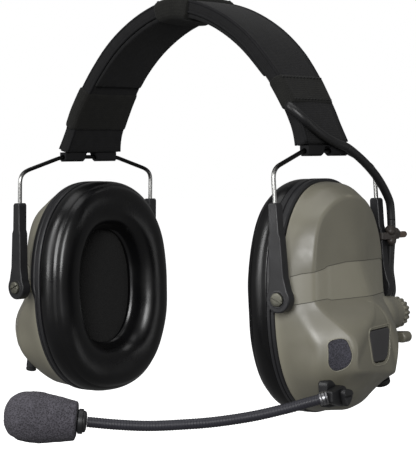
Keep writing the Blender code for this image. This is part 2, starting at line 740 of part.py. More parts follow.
# ---------------------------------------------------------------- controls, inner pieces, boom
def make_left_controls():
    pivot = bpy.data.objects["pivot_left"]
    green = material("green_shell", GREEN, 0.55)
    plastic = material("black_plastic", BLACK_PLASTIC, 0.45)
    board = material("board", BOARD_GREEN, 0.5)
    rubber = material("rubber", RUBBER, 0.35)

    knob = ribbed_disc(KNOB_R, KNOB_ROOT, 14, BOSS_END + GAP, BOSS_END + GAP + KNOB_LONG)
    mesh_object("control_knob", knob, green, pivot)

    lever = rounded([(-1.6, -2.6), (6.2, -2.6), (7.6, 0), (6.2, 2.6), (-1.6, 2.6), (-3.0, 0)], 1.2, 2)
    outline = [(LEVER_X + a, LEVER_Z + b) for a, b in lever]
    mesh_object("mode_lever", prism(outline, "Y", LEVER_START, LEVER_END), green, pivot)
    stem = cylinder(2.0, (LEVER_X, 29, LEVER_Z), (LEVER_X, LEVER_START - GAP, LEVER_Z), 16)
    cut(bpy.data.objects["cup_shell_left"], mesh_object("lever_stem", stem, green, pivot), "UNION")

    mesh_object("circuit_board", box((13.0, -16, -32), (14.6, 12, -10)), board, pivot)

    inside = (GLAND[0], 30, GLAND[2])
    gland = mesh_object("lead_gland", cylinder(2.0, inside, GLAND, 16), rubber, pivot)
    cut(gland, mesh_object("gland_foot", shell_solid(GAP), rubber, pivot))
    cut(gland, mesh_object("gland_base", box((-20, 20, -40), (SHELL_BASE + 0.1, 60, 10)), rubber, pivot))

    socket = cylinder(SOCKET_R, SOCKET_START, SOCKET_END, 20)
    socket = mesh_object("downlead_socket", socket, plastic, pivot)
    cut(socket, mesh_object("socket_foot", shell_solid(GAP), plastic, pivot))
    way = (Vector(SOCKET_END) - Vector(SOCKET_START)).normalized()
    radius = SOCKET_CAP_R
    profile = ((0, 0), (radius, 0), (radius, 2.2), (radius - 0.8, 3.0), (0, 3.0))
    cap = turned(profile, Vector(SOCKET_END) + way * GAP, way, 20)
    mesh_object("socket_cap", cap, rubber, pivot)


def ribbed_disc(tip, root, ribs, low, high):
    """A knob turned about the boss axis, with ribs round its edge."""
    outline = []
    for i in range(ribs * 4):
        radius = tip if i % 4 in (0, 1) else root
        angle = math.tau * i / (ribs * 4)
        outline.append((BOSS_X + radius * math.cos(angle), BOSS_Z + radius * math.sin(angle)))
    return prism(outline, "Y", low, high)


def make_right_parts():
    pivot = bpy.data.objects["pivot_right"]
    green = material("green_shell", GREEN, 0.55)
    plastic = material("black_plastic", BLACK_PLASTIC, 0.45)
    metal = material("steel", STEEL, 0.3, 1.0)
    cap = ribbed_disc(KNOB_R, KNOB_ROOT, 14, BOSS_END + GAP, BOSS_END + GAP + CAP_LONG)
    mesh_object("battery_cap", cap, green, pivot, -1)
    battery = cylinder(6.6, (13.6, -14, -22), (13.6, 13, -22), 20)
    mesh_object("battery", battery, metal, pivot, -1)
    plug = cylinder(2.6, PLUG_START, PLUG_END, 16)
    plug = mesh_object("boom_port_plug", plug, plastic, pivot, -1)
    cut(plug, mesh_object("plug_foot", shell_solid(GAP), plastic, pivot, -1))


def cup_to_world(point, side=1):
    """World place of a point in cup coordinates."""
    out = PIVOT_OUT + point[0]
    c, s = math.cos(TOE), math.sin(TOE)
    return Vector(
        (
            side * (HINGE_X + out * c - point[1] * s),
            point[1] * c + out * s,
            HINGE_Z + PIVOT_DROP + point[2],
        )
    )


def keep_place(made, parent):
    """Parents an object that was made in world coordinates."""
    bpy.context.view_layer.update()
    made.parent = parent
    made.matrix_parent_inverse = parent.matrix_world.inverted()
    return made


def make_boom():
    pivot = bpy.data.objects["pivot_left"]
    boom = bpy.data.objects["boom_axis"]
    plastic = material("black_plastic", BLACK_PLASTIC, 0.45)
    hose = material("hose", HOSE_GREY, 0.5)
    foam = material("foam", FOAM, 0.95)
    metal = material("screw_metal", SCREW_METAL, 0.4, 1.0)

    socket = prism(rounded(BOOM_SOCKET, 2.0, 1), "X", SOCKET_FACE - 4.7, SOCKET_FACE)
    socket = mesh_object("boom_socket", socket, plastic, pivot)
    cut(socket, mesh_object("boom_socket_foot", shell_solid(GAP), plastic, pivot))

    arm = []
    for i in range(9):
        angle = math.radians(-90 + 180 * i / 8)
        arm.append((BOOM_Y + 4.6 * math.cos(angle), BOOM_Z + 4.6 * math.sin(angle)))
    arm += [(BOOM_Y + a, b) for a, b in ((-7.0, -39.2), (-9.5, -39.4), (-9.5, -44.6), (-7.0, -45.2))]
    elbow = mesh_object("boom_elbow", prism(arm, "X", SOCKET_FACE + GAP, SOCKET_FACE + 4.4), plastic, pivot)
    post = cylinder(1.5, (10, BOOM_Y, BOOM_Z), (26, BOOM_Y, BOOM_Z), 12)
    cut(elbow, mesh_object("elbow_eye", post, plastic, pivot))
    hole = cylinder(1.5, (9, BOOM_Y, BOOM_Z), (26, BOOM_Y, BOOM_Z), 12)
    cut(socket, mesh_object("socket_eye", hole, plastic, pivot))
    profile = ((0, 0), (3.4, 0), (3.4, 2.0), (1.2, 2.0), (1.2, 9.0), (0, 9.0))
    screw = turned(profile, (SOCKET_FACE + 4.7 + 2.0, BOOM_Y, BOOM_Z), (-1, 0, 0), 18)
    mesh_object("boom_thumb_screw", screw, metal, pivot)

    start = cup_to_world((SOCKET_FACE + 2.2, BOOM_Y - 11.8, -42.0))
    drop = (0, -2.0, -4.0, -7.2, -9.4, -10.3, -10.6, -9.8, -8.4)
    reach = (0, 8.0, 15.5, 30.5, 47.0, 61.5, 75.5, 88.8, 101.6)
    forward = Vector((-math.sin(BOOM_HEADING), -math.cos(BOOM_HEADING), 0))
    points = [start + forward * a + Vector((0, 0, b)) for a, b in zip(reach, drop)]
    route = smooth_route(points, 3)
    keep_place(rod("boom_gooseneck", route, GOOSENECK_DIAMETER, hose, sides=3), boom)

    end, way = points[-1], (points[-1] - points[-2]).normalized()
    collar = turned(((0, 0), (5.4, 0), (5.4, 3.6), (0, 3.6)), end + way * GAP, way, 18)
    keep_place(mesh_object("mic_collar", collar, plastic), boom)
    capsule = turned(((0, 0), (4.6, 0), (4.6, 15.0), (0, 15.0)), end + way * (3.6 + 2 * GAP), way, 18)
    keep_place(mesh_object("mic_capsule", capsule, plastic), boom)
    bore = ((0, 16.0), (5.2, 16.0))
    screen = turned(bore + WINDSCREEN, end + way * (3.6 + 2 * GAP), way, 22)
    keep_place(mesh_object("mic_windscreen", screen, foam), boom)


def make_lead():
    """Lead between the cups: out by the band's front edge, across its end, down the rear arm."""
    rubber = material("rubber", RUBBER, 0.35)
    tie_look = material("tie", TIE_BROWN, 0.5)
    points = []
    for share, across, lift in LEAD_ON_BAND:
        centre, normal, wide = arch_frame(share)
        points.append(centre + normal * lift + wide * across)
    drop = (
        (0.5, 4.4, 67.1),
        (1.6, 11.3, 65.2),
        (2.8, 19.5, 61.0),
        (3.4, 26.4, 57.0),
        (3.7, 33.4, 52.4),
        (3.6, 40.0, 47.2),
        (3.3, 45.0, 42.6),
        (3.0, 48.3, 38.4),
        (2.9, 49.4, 31.0),
        (2.8, 49.5, 23.0),
        (2.0, 49.7, 15.0),
        (1.4, 50.0, 7.0),
        (1.9, 50.3, 1.5),
        (2.2, 50.1, -3.4),
        (1.0, 48.9, -7.8),
        (-0.7, 47.3, -11.8),
        (-1.4, 46.0, -15.2),
        (-1.3, GLAND[1] + 2.2, GLAND[2] + 0.1),
        (GLAND[0], GLAND[1] + GAP, GLAND[2]),
    )
    points += [cup_to_world(point) for point in drop]
    route = smooth_route(points, 3)
    marks = (0, 18, 39, 51, len(route) - 1)
    for name, low, high in zip(("lead_band", "lead_upper", "lead_lower", "lead_drop"), marks, marks[1:]):
        piece = route[low : high + 1]
        if high != marks[-1]:
            piece[-1] = piece[-1] + (piece[-2] - piece[-1]).normalized() * GAP
        rod(name, piece, LEAD_DIAMETER, rubber)

    slide = bpy.data.objects["slide_left"]
    inner, outer = rounded(TIE_INNER, 1.0, 2), rounded(TIE_OUTER, 1.2, 2)
    low, high = TIE_Z - TIE_HALF, TIE_Z + TIE_HALF
    lines = ((outer, low), (outer, high), (inner, high), (inner, low))
    rings = [[(x, y, z) for x, y in line] for line, z in lines]
    tie = mesh_object("cable_tie", loft(rings, closed=True), tie_look, slide)
    tail = box((1.4, 52.4, low + 0.2), (3.2, 65.0, high - 0.2))
    tail = mesh_object("tie_tail", tail, tie_look, slide)
    cut(tie, tail, "UNION")


def make_frames():
    """Empties on the joint axes, each carrying what turns or slides about it."""
    for side, word in ((1, "left"), (-1, "right")):
        hinge = empty("hinge_" + word, (side * HINGE_X, 0, HINGE_Z), turn=side * TOE)
        place = (side * PIVOT_OUT, 0, PIVOT_DROP)
        slide = empty("slide_" + word, place, hinge)
        empty("pivot_" + word, (0, 0, 0), slide)
    empty("boom_axis", (SOCKET_FACE, BOOM_Y, BOOM_Z), bpy.data.objects["pivot_left"])


clear_scene()
make_frames()
make_headband()
for cup_side, cup_word in ((1, "left"), (-1, "right")):
    make_yoke(cup_side, cup_word)
    make_cup(cup_side, cup_word)
make_left_controls()
make_right_parts()
make_boom()
make_lead()
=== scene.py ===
"""Looks of the communication headset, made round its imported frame.

Lengths are in millimetres in the part's own frame and become metres as they enter a mesh. A cup's
shapes are in cup coordinates: x outward from its pivot axis, y rearwards, z up from that axis.
"""

import math

import bmesh
import bpy
from mathutils import Matrix, Vector, noise
from mathutils.bvhtree import BVHTree


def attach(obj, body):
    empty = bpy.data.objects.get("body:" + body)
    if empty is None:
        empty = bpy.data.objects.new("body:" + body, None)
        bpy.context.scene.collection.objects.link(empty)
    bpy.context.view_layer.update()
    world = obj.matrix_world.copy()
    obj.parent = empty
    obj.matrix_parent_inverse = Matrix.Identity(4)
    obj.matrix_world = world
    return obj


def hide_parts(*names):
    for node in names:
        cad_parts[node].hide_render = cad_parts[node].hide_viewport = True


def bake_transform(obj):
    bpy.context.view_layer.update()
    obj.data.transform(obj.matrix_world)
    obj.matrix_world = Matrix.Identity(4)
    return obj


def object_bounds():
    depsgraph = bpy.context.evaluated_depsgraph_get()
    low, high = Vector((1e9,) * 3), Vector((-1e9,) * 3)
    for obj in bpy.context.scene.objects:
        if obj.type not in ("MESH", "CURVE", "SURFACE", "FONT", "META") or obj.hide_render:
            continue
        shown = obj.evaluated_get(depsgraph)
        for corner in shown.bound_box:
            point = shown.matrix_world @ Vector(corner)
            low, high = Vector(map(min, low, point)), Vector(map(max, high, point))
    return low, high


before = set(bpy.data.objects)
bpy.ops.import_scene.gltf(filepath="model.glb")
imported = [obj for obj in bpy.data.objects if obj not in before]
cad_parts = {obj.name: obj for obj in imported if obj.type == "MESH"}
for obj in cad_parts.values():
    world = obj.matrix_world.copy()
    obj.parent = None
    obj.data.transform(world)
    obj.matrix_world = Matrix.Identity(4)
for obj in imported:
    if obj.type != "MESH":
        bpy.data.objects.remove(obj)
CAD_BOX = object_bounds()

MM = 0.001

# Headband arch, as in the frame.
ARCH_HALF, ARCH_RISE, ARCH_BASE_Z, ARCH_POWER = 74.2, 77.0, -72.5, 1.7
BAND_HALF = 16.6
END_FLARE = 1.6
SLEEVE_THICK = 5.6
CROWN_LIFT = 1.7
CROWN_PAD_THICK = 2.1
SLEEVE_END = 0.872
PAD_END = 0.56
WRAP_THICK = 1.1
CROWN_WRAP = (-0.125, 0.10)
LEFT_WRAP = (0.600, 0.712)
RIGHT_WRAP = (-0.765, -0.600)

# Yokes and cups, as in the frame.
HINGE_X, HINGE_Z = 73.75, -63.75
TOE = math.radians(4.65)
PIVOT_OUT, PIVOT_DROP = 3.51, -63.75
BEND_OUT, BEND_DROP = 0.85, -7.76
LEG_Y, LEG_END = 43.92, 19.0
WIRE_DIAMETER = 2.0
TAB_HALF = 16.9
ARM_INNER, ARM_OUTER, ARM_TOP, ARM_DISC = 41.4, 46.4, 41.5, 5.7
CUP_POWER, CUP_CENTRE_Z = 2.35, -1.5
SHELL_HALF_Y, SHELL_HALF_Z, SHELL_BASE = 38.4, 51.4, -3.0
LOWER_FACE, UPPER_FACE = 25.0, 14.2
RING_BACK = -10.0
SKIRT_DROP, SKIRT_FLARE = 3.0, 0.9
BOSS_X, BOSS_Z, BOSS_END = 9.0, -12.0, 37.1
KNOB_LONG, CAP_LONG = 5.8, 4.7
LEVER_X, LEVER_Z = 9.5, -23.3
LEVER_START, LEVER_END = 36.2, 43.6
GLAND = (-1.2, 41.6, -17.0)
SOCKET_START, SOCKET_END = (8.0, 23.5, -28.4), (8.0, 28.0, -41.6)
SOCKET_R, SOCKET_CAP_R = 3.9, 4.2
TIE_Z, TIE_HALF = 23.5, 1.7
BOOM_Y, BOOM_Z = -26.6, -42.5
SOCKET_FACE = 16.0
PLUG_START, PLUG_END = (12.5, -25.2, -30.5), (15.3, -25.2, -43.8)
BOOM_HEADING = math.radians(50.0)
GOOSENECK_DIAMETER = 4.7
LEAD_DIAMETER = 4.0
# Lead on the band: (share, across, height over the band's middle surface). The first two points are
# inside the cover.
LEAD_ON_BAND = (
    (0.700, -13.0, 0.0),
    (0.716, -18.0, 0.8),
    (0.729, -20.2, 2.4),
    (0.762, -19.4, 4.3),
    (0.794, -16.8, 5.4),
    (0.831, -10.4, 5.5),
    (0.858, -3.6, 5.5),
)
GAP = 0.3

# Directions round the cup: angle of the base point in degrees from the rear, then the turn of the
# wall and the edge of the outer face, each as (y, z, x).
SPOKES = (
    (0, (35.6, -1.5, 3.5), (27.6, -1.0, 10.5)),
    (30, (34.0, 18.5, 3.2), (27.0, 19.0, 10.0)),
    (55, (28.3, 34.0, 3.0), (21.5, 33.0, 10.0)),
    (74, (13.8, 46.6, 3.0), (12.0, 40.8, 11.0)),
    (90, (0.0, 48.8, 3.2), (0.0, 43.2, 11.5)),
    (106, (-14.2, 46.5, 3.0), (-12.5, 41.8, 10.8)),
    (125, (-28.4, 34.6, 3.0), (-25.6, 33.5, 9.8)),
    (150, (-34.6, 18.5, 3.2), (-30.8, 17.5, 9.8)),
    (180, (-35.3, -2.0, 3.6), (-30.6, -1.5, 10.0)),
    (207, (-35.8, -20.0, 12.2), (-25.8, -17.8, 25.6)),
    (228, (-33.2, -35.0, 11.5), (-23.2, -31.2, 26.2)),
    (251, (-14.4, -50.0, 11.4), (-10.6, -33.4, 25.8)),
    (270, (2.5, -50.8, 11.0), (1.0, -34.6, 25.0)),
    (289, (13.5, -46.4, 10.5), (9.5, -35.8, 24.8)),
    (312, (27.0, -38.6, 9.8), (14.6, -35.2, 23.8)),
    (335, (33.2, -20.0, 9.6), (16.0, -20.0, 24.2)),
)
# Outlines on the cup as (y, z).
MIC_WINDOW = ((-32.5, -18.6), (-27.8, -17.2), (-26.6, -25.5), (-27.0, -29.8), (-29.7, -31.7), (-32.3, -28.6))
PUSH_PAD = ((-12.4, -15.4), (7.0, -15.0), (5.0, -27.6), (2.2, -30.2), (-8.6, -30.0))
BRIDGE_TOP = (
    (-42, 6.5), (-34, 10.4), (-26, 11.8), (-24, 12.2), (-22.2, 13.2), (-10, 14.4), (25, 14.0), (42, 6.5),
)
BRIDGE_LOW = ((42, -4.4), (30, -1.4), (0, -1.1), (-20.4, -1.4), (-22.6, -0.7), (-30, -1.3), (-42, -4.4))
BOOM_SOCKET = ((-33.1, -35.5), (-17.1, -35.5), (-15.6, -42.0), (-19.6, -47.5), (-32.1, -47.5))
TIE_INNER = ((-5.4, 41.0), (2.7, 41.0), (5.6, 48.0), (4.8, 51.9), (0.9, 52.2), (-5.4, 46.8))
TIE_OUTER = ((-6.3, 40.3), (3.3, 40.3), (6.6, 48.0), (5.6, 52.9), (0.5, 53.2), (-6.3, 47.4))

# Camera: azimuth from straight ahead of the wearer towards the left cup, and its aim in its own plane.
CAMERA_AZIMUTH = math.radians(39.99)
CAMERA_ELEVATION = math.radians(2.07)
CAMERA_ROLL = math.radians(-1.05)
CAMERA_DISTANCE = 799.72
CAMERA_AIM = (2.97, 28.24)
CAMERA_LENS = 131.34
SENSOR = 36.0
PIVOT_Z = HINGE_Z + PIVOT_DROP


# ---------------------------------------------------------------- shader helpers
def shader(name, colour, roughness, metallic=0.0):
    made = bpy.data.materials.new(name)
    made.use_nodes = True
    node = made.node_tree.nodes["Principled BSDF"]
    node.inputs["Base Color"].default_value = (*colour, 1.0)
    node.inputs["Roughness"].default_value = roughness
    node.inputs["Metallic"].default_value = metallic
    return made, made.node_tree, node


def add_node(tree, kind, settings=None, **inputs):
    made = tree.nodes.new(kind)
    for key, value in (settings or {}).items():
        setattr(made, key, value)
    for key, value in inputs.items():
        made.inputs[key.replace("_", " ")].default_value = value
    return made


def noise_at(tree, scale, detail=3.0, stretch=(1, 1, 1)):
    """Noise over the piece's own coordinates in metres; scale is in waves per metre."""
    where = add_node(tree, "ShaderNodeTexCoord")
    mapping = add_node(tree, "ShaderNodeMapping")
    mapping.inputs["Scale"].default_value = stretch
    texture = add_node(tree, "ShaderNodeTexNoise", Scale=scale, Detail=detail)
    tree.links.new(where.outputs["Object"], mapping.inputs["Vector"])
    tree.links.new(mapping.outputs["Vector"], texture.inputs["Vector"])
    return texture.outputs["Fac"]


def ramp(tree, value, stops):
    """A colour ramp from (position, colour or grey) stops."""
    made = add_node(tree, "ShaderNodeValToRGB")
    elements = made.color_ramp.elements
    while len(elements) < len(stops):
        elements.new(0.5)
    for element, (position, colour) in zip(elements, stops):
        element.position = position
        element.color = (*colour, 1.0) if isinstance(colour, tuple) else (colour, colour, colour, 1.0)
    tree.links.new(value, made.inputs["Fac"])
    return made.outputs["Color"]


def shade(colour, factor):
    return tuple(min(1.0, value * factor) for value in colour)


def mix_colours(tree, node, factor, first, second, blend="MIX"):
    """The node's base colour from two colours; each, and the factor, is an output or a plain value."""
    made = add_node(tree, "ShaderNodeMix", {"data_type": "RGBA", "blend_type": blend})
    for socket, value in ((0, factor), (6, first), (7, second)):
        if isinstance(value, bpy.types.NodeSocket):
            tree.links.new(value, made.inputs[socket])
        else:
            made.inputs[socket].default_value = value
    tree.links.new(made.outputs[2], node.inputs["Base Color"])


def bump(tree, node, height, strength, distance, under=None):
    """Adds fine relief to a shader, over the relief of an earlier bump if there is one."""
    made = add_node(tree, "ShaderNodeBump", Strength=strength, Distance=distance)
    tree.links.new(height, made.inputs["Height"])
    if under is not None:
        tree.links.new(under.outputs["Normal"], made.inputs["Normal"])
    tree.links.new(made.outputs["Normal"], node.inputs["Normal"])
    return made


def moulded(name, colour, roughness, grain=2600.0, grain_height=0.00003, mottling=0.10, gloss=0.5):
    """Moulded plastic: slight mottling, edges painted lighter as a highlight and a fine spark-eroded grain.
    """
    made, tree, node = shader(name, colour, roughness)
    tones = ((0.3, shade(colour, 1 - mottling)), (0.7, shade(colour, 1 + mottling)))
    patches = ramp(tree, noise_at(tree, 70.0, 4.0), tones)
    # Convex edges are mixed towards a lighter copy of the colour: a painted highlight along the edges.
    geometry = add_node(tree, "ShaderNodeNewGeometry")
    edges = ramp(tree, geometry.outputs["Pointiness"], ((0.505, 0.0), (0.56, 0.55)))
    mix_colours(tree, node, edges, patches, (*shade(colour, 1.55), 1.0))
    rubbed = ((0.3, max(0.0, roughness - 0.05)), (0.7, min(1.0, roughness + 0.06)))
    wear = ramp(tree, noise_at(tree, 160.0, 2.0), rubbed)
    tree.links.new(wear, node.inputs["Roughness"])
    bump(tree, node, noise_at(tree, grain, 2.0), 0.5, grain_height)
    node.inputs["Specular IOR Level"].default_value = gloss
    return made


def woven(name, colour, pitch=0.0009):
    """Nylon weave over the piece's UV map, which is in metres, with soft pile, painted shade between the
    threads and a slight sheen.
    """
    made, tree, node = shader(name, colour, 0.85)
    where = add_node(tree, "ShaderNodeUVMap", {"uv_map": "cloth"})
    heights = []
    for direction in ("X", "Y"):
        bands = {"bands_direction": direction}
        wave = add_node(tree, "ShaderNodeTexWave", bands, Scale=0.31416 / pitch, Distortion=0.6)
        wave.inputs["Detail Scale"].default_value = 0.4 / pitch
        tree.links.new(where.outputs["UV"], wave.inputs["Vector"])
        heights.append(wave.outputs["Fac"])
    both = add_node(tree, "ShaderNodeMath", {"operation": "MULTIPLY"})
    for i, height in enumerate(heights):
        tree.links.new(height, both.inputs[i])
    pile = noise_at(tree, 300.0, 5.0)
    spots = ramp(tree, pile, ((0.3, shade(colour, 0.8)), (0.75, shade(colour, 1.3))))
    # Darker where both crossed waves are low: painted shade in the hollows between the threads.
    weave_gap_shade = ramp(tree, both.outputs[0], ((0.0, 0.5), (1.0, 1.0)))
    mix_colours(tree, node, 0.5, spots, weave_gap_shade, "MULTIPLY")
    first = bump(tree, node, both.outputs[0], 0.7, 0.00012)
    bump(tree, node, pile, 0.25, 0.0002, first)
    node.inputs["Sheen Weight"].default_value = 0.03
    node.inputs["Specular IOR Level"].default_value = 0.2
    node.inputs["Sheen Roughness"].default_value = 0.5
    return made


def sponge(name, dark, light, cell=0.0007):
    """Open-cell foam: small cells, their mouths darkened as painted shade."""
    made, tree, node = shader(name, light, 0.95)
    where = add_node(tree, "ShaderNodeTexCoord")
    cells = add_node(tree, "ShaderNodeTexVoronoi", Scale=1.0 / cell)
    tree.links.new(where.outputs["Object"], cells.inputs["Vector"])
    # Dark at the middle of each cell, where the bump sinks it: painted shade in the cells' mouths.
    cell_mouth_shade = ramp(tree, cells.outputs["Distance"], ((0.15, dark), (0.65, light)))
    mottle = ramp(tree, noise_at(tree, 220.0, 4.0), ((0.3, 0.75), (0.7, 1.0)))
    mix_colours(tree, node, 1.0, cell_mouth_shade, mottle, "MULTIPLY")
    first = bump(tree, node, cells.outputs["Distance"], 0.9, 0.0003)
    bump(tree, node, noise_at(tree, 900.0, 3.0), 0.6, 0.0003, first)
    return made


def cushion_skin(name, colour):
    """Smooth synthetic leather with a very fine grain and random patches of higher gloss."""
    made, tree, node = shader(name, colour, 0.3)
    tone = ramp(tree, noise_at(tree, 60.0, 3.0), ((0.3, shade(colour, 0.8)), (0.7, shade(colour, 1.25))))
    tree.links.new(tone, node.inputs["Base Color"])
    gloss = ramp(tree, noise_at(tree, 45.0, 3.0), ((0.3, 0.24), (0.7, 0.36)))
    tree.links.new(gloss, node.inputs["Roughness"])
    first = bump(tree, node, noise_at(tree, 55.0, 2.0), 0.22, 0.0012)
    bump(tree, node, noise_at(tree, 1800.0, 3.0), 0.25, 0.00004, first)
    node.inputs["Specular IOR Level"].default_value = 0.38
    return made


def metal(name, colour, roughness, along=(1, 1, 1), dark_above=None):
    """Drawn or turned metal; dark_above (z, colour) blackens what lies above that height."""
    made, tree, node = shader(name, colour, roughness, 1.0)
    streaks = noise_at(tree, 900.0, 3.0, stretch=along)
    tone = ramp(tree, streaks, ((0.3, shade(colour, 0.8)), (0.7, shade(colour, 1.1))))
    wear = ramp(tree, streaks, ((0.3, roughness * 0.8), (0.7, min(1.0, roughness * 1.35))))
    tree.links.new(wear, node.inputs["Roughness"])
    if dark_above is None:
        tree.links.new(tone, node.inputs["Base Color"])
    else:
        where = add_node(tree, "ShaderNodeTexCoord")
        split = add_node(tree, "ShaderNodeSeparateXYZ")
        tree.links.new(where.outputs["Object"], split.inputs[0])
        height = add_node(tree, "ShaderNodeMapRange")
        height.inputs["From Min"].default_value = dark_above[0] - 0.002
        height.inputs["From Max"].default_value = dark_above[0] + 0.002
        tree.links.new(split.outputs["Z"], height.inputs["Value"])
        mix_colours(tree, node, height.outputs[0], tone, (*dark_above[1], 1.0))
    bump(tree, node, streaks, 0.25, 0.00002)
    return made


GREEN_COLOUR = (0.134, 0.127, 0.098)
LOOKS = {
    "green": moulded("green_plastic", GREEN_COLOUR, 0.40, mottling=0.05),
    # The same green made lighter: a painted highlight on raised rims and steps.
    "green_painted_highlight": moulded("green_plastic_raised", shade(GREEN_COLOUR, 1.10), 0.40, mottling=0.05),
    "green_dark": moulded("green_plastic_dark", shade(GREEN_COLOUR, 0.78), 0.38, mottling=0.05),
    # The same green made much darker: painted shade in the gaps along the bridge band's edges.
    "green_painted_shade": moulded("green_plastic_seam", shade(GREEN_COLOUR, 0.35), 0.7, mottling=0.05),
    "black": moulded("black_plastic_satin", (0.010, 0.010, 0.011), 0.42, mottling=0.2, gloss=0.35),
    "rubber": moulded("black_rubber", (0.008, 0.008, 0.009), 0.6, grain=1500.0, mottling=0.2, gloss=0.3),
    "lead": moulded("lead_jacket", (0.007, 0.007, 0.0075), 0.45, grain=1500.0, mottling=0.2, gloss=0.35),
    "pad": moulded("pad_rubber", (0.030, 0.029, 0.030), 0.6, grain=1800.0, mottling=0.15, gloss=0.4),
    "textile": woven("black_nylon", (0.0065, 0.0065, 0.007)),
    "webbing": woven("wrap_nylon", (0.0080, 0.0080, 0.0070), 0.0011),
    "textile_edge": moulded(
        "piping_nylon", (0.0065, 0.0065, 0.007), 0.85, grain=1800.0, mottling=0.25, gloss=0.15
    ),
    "thread": moulded("black_thread", (0.010, 0.010, 0.010), 0.7, grain=4000.0, gloss=0.2),
    "seal": cushion_skin("seal_skin_gloss", (0.0022, 0.0022, 0.0025)),
    "liner": sponge("liner_foam", (0.0005, 0.0005, 0.0005), (0.0032, 0.0030, 0.0028), 0.0009),
    "foam": sponge("windscreen_foam", (0.018, 0.016, 0.020), (0.068, 0.064, 0.077)),
    "window": sponge("window_foam", (0.009, 0.009, 0.013), (0.044, 0.043, 0.056), 0.0006),
    "wire": metal("yoke_steel", (0.36, 0.36, 0.35), 0.30, (1, 1, 0.05), (-0.0725, (0.02, 0.02, 0.02))),
    "steel": metal("plain_steel", (0.45, 0.44, 0.42), 0.35),
    "screw": metal("screw_plating", (0.15, 0.147, 0.122), 0.5, (1, 0.1, 1)),
    "hose": moulded("gooseneck_skin", (0.0175, 0.0175, 0.0225), 0.42, mottling=0.12, gloss=0.3),
    "ferrule": metal("ferrule_metal", (0.22, 0.22, 0.23), 0.35),
    "tie": moulded("tie_nylon", (0.070, 0.048, 0.034), 0.42, mottling=0.1),
    "tie_dark": moulded("tie_nylon_dark", (0.018, 0.014, 0.012), 0.5, mottling=0.2, gloss=0.4),
    "board": moulded("board_mask", (0.02, 0.10, 0.04), 0.3, mottling=0.1),
}


# ---------------------------------------------------------------- mesh helpers
def cup_to_world(point, side=1):
    out = PIVOT_OUT + point[0]
    c, s = math.cos(TOE), math.sin(TOE)
    return Vector((side * (HINGE_X + out * c - point[1] * s), point[1] * c + out * s, PIVOT_Z + point[2]))


def yoke_to_world(point, side=1):
    """From coordinates on the hinge axis of a yoke."""
    return cup_to_world((point[0] - PIVOT_OUT, point[1], point[2] - PIVOT_DROP), side)


def band_to_world(point, side=1):
    return Vector((side * point[0], point[1], point[2]))


def piece(name, bm, look, body, replaces=(), side=1, place=band_to_world, sharp=None):
    """Makes the object of a bmesh in millimetres and hangs it on its body. bm is used up."""
    for vert in bm.verts:
        vert.co = place(vert.co, side) * MM
    bmesh.ops.recalc_face_normals(bm, faces=bm.faces)
    if bm.calc_volume(signed=True) < 0:
        bmesh.ops.reverse_faces(bm, faces=bm.faces)
    mesh = bpy.data.meshes.new(name)
    bm.to_mesh(mesh)
    bm.free()
    mesh.shade_smooth()
    if sharp is not None:
        mesh.set_sharp_from_angle(angle=math.radians(sharp))
    made = bpy.data.objects.new(name, mesh)
    bpy.context.collection.objects.link(made)
    mesh.materials.append(LOOKS[look])
    if body is not None:
        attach(made, body)
    if replaces:
        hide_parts(*replaces)
    return made


def loft(rings, closed=False, uv=None):
    """Skins equal rings of points. uv(row, column) gives cloth coordinates in millimetres."""
    bm = bmesh.new()
    rows = [[bm.verts.new(point) for point in ring] for ring in rings]
    layer = bm.loops.layers.uv.new("cloth") if uv else None
    count = len(rows[0])
    turns = len(rows) if closed else len(rows) - 1
    for r in range(turns):
        low, high = rows[r], rows[(r + 1) % len(rows)]
        for i in range(count):
            j = (i + 1) % count
            face = bm.faces.new((low[i], low[j], high[j], high[i]))
            if layer:
                corners = ((r, i), (r, i + 1), (r + 1, i + 1), (r + 1, i))
                for loop, corner in zip(face.loops, corners):
                    loop[layer].uv = [value * MM for value in uv(*corner)]
    if not closed:
        fan(bm, rows[0])
        fan(bm, rows[-1])
    return bm


def fan(bm, row):
    """Closes a ring of vertices with triangles to its middle."""
    middle = bm.verts.new(sum((vert.co for vert in row), Vector()) / len(row))
    for i in range(len(row)):
        bm.faces.new((row[i], row[(i + 1) % len(row)], middle))


def prism(outline, axis, low, high):
    """A flat outline drawn out along an axis between two depths."""
    place = {
        "X": lambda a, b, depth: Vector((depth, a, b)),
        "Y": lambda a, b, depth: Vector((a, depth, b)),
        "Z": lambda a, b, depth: Vector((a, b, depth)),
    }[axis]
    bm = bmesh.new()
    rows = [[bm.verts.new(place(a, b, depth)) for a, b in outline] for depth in (low, high)]
    count = len(outline)
    for i in range(count):
        j = (i + 1) % count
        bm.faces.new((rows[0][i], rows[0][j], rows[1][j], rows[1][i]))
    bm.faces.new(rows[0][::-1])
    bm.faces.new(rows[1])
    return bm


def turned(profile, centre, direction, segments=64, radius_at=None):
    """Turns (radius, height) points about a line. radius_at(radius, height, turn) may shape them."""
    spin = Vector((0, 0, 1)).rotation_difference(Vector(direction)).to_matrix()
    rings = []
    for radius, height in profile:
        ring = []
        for i in range(segments):
            turn = math.tau * i / segments
            r = radius_at(radius, height, turn) if radius_at else radius
            ring.append(spin @ Vector((r * math.cos(turn), r * math.sin(turn), height)) + Vector(centre))
        rings.append(ring)
    return loft(rings)


def curve_through(points, steps):
    """Points along a Catmull-Rom curve through the given ones, of any dimension."""
    points = [Vector(point) for point in points]
    ends = [2 * points[0] - points[1], *points, 2 * points[-1] - points[-2]]
    route = []
    for a, b, c, d in zip(ends, ends[1:], ends[2:], ends[3:]):
        for i in range(steps):
            t = i / steps
            cubic = (2 * a - 5 * b + 4 * c - d) * t**2 + (3 * b - a - 3 * c + d) * t**3
            route.append(0.5 * (2 * b + (c - a) * t + cubic))
    return [*route, points[-1]]


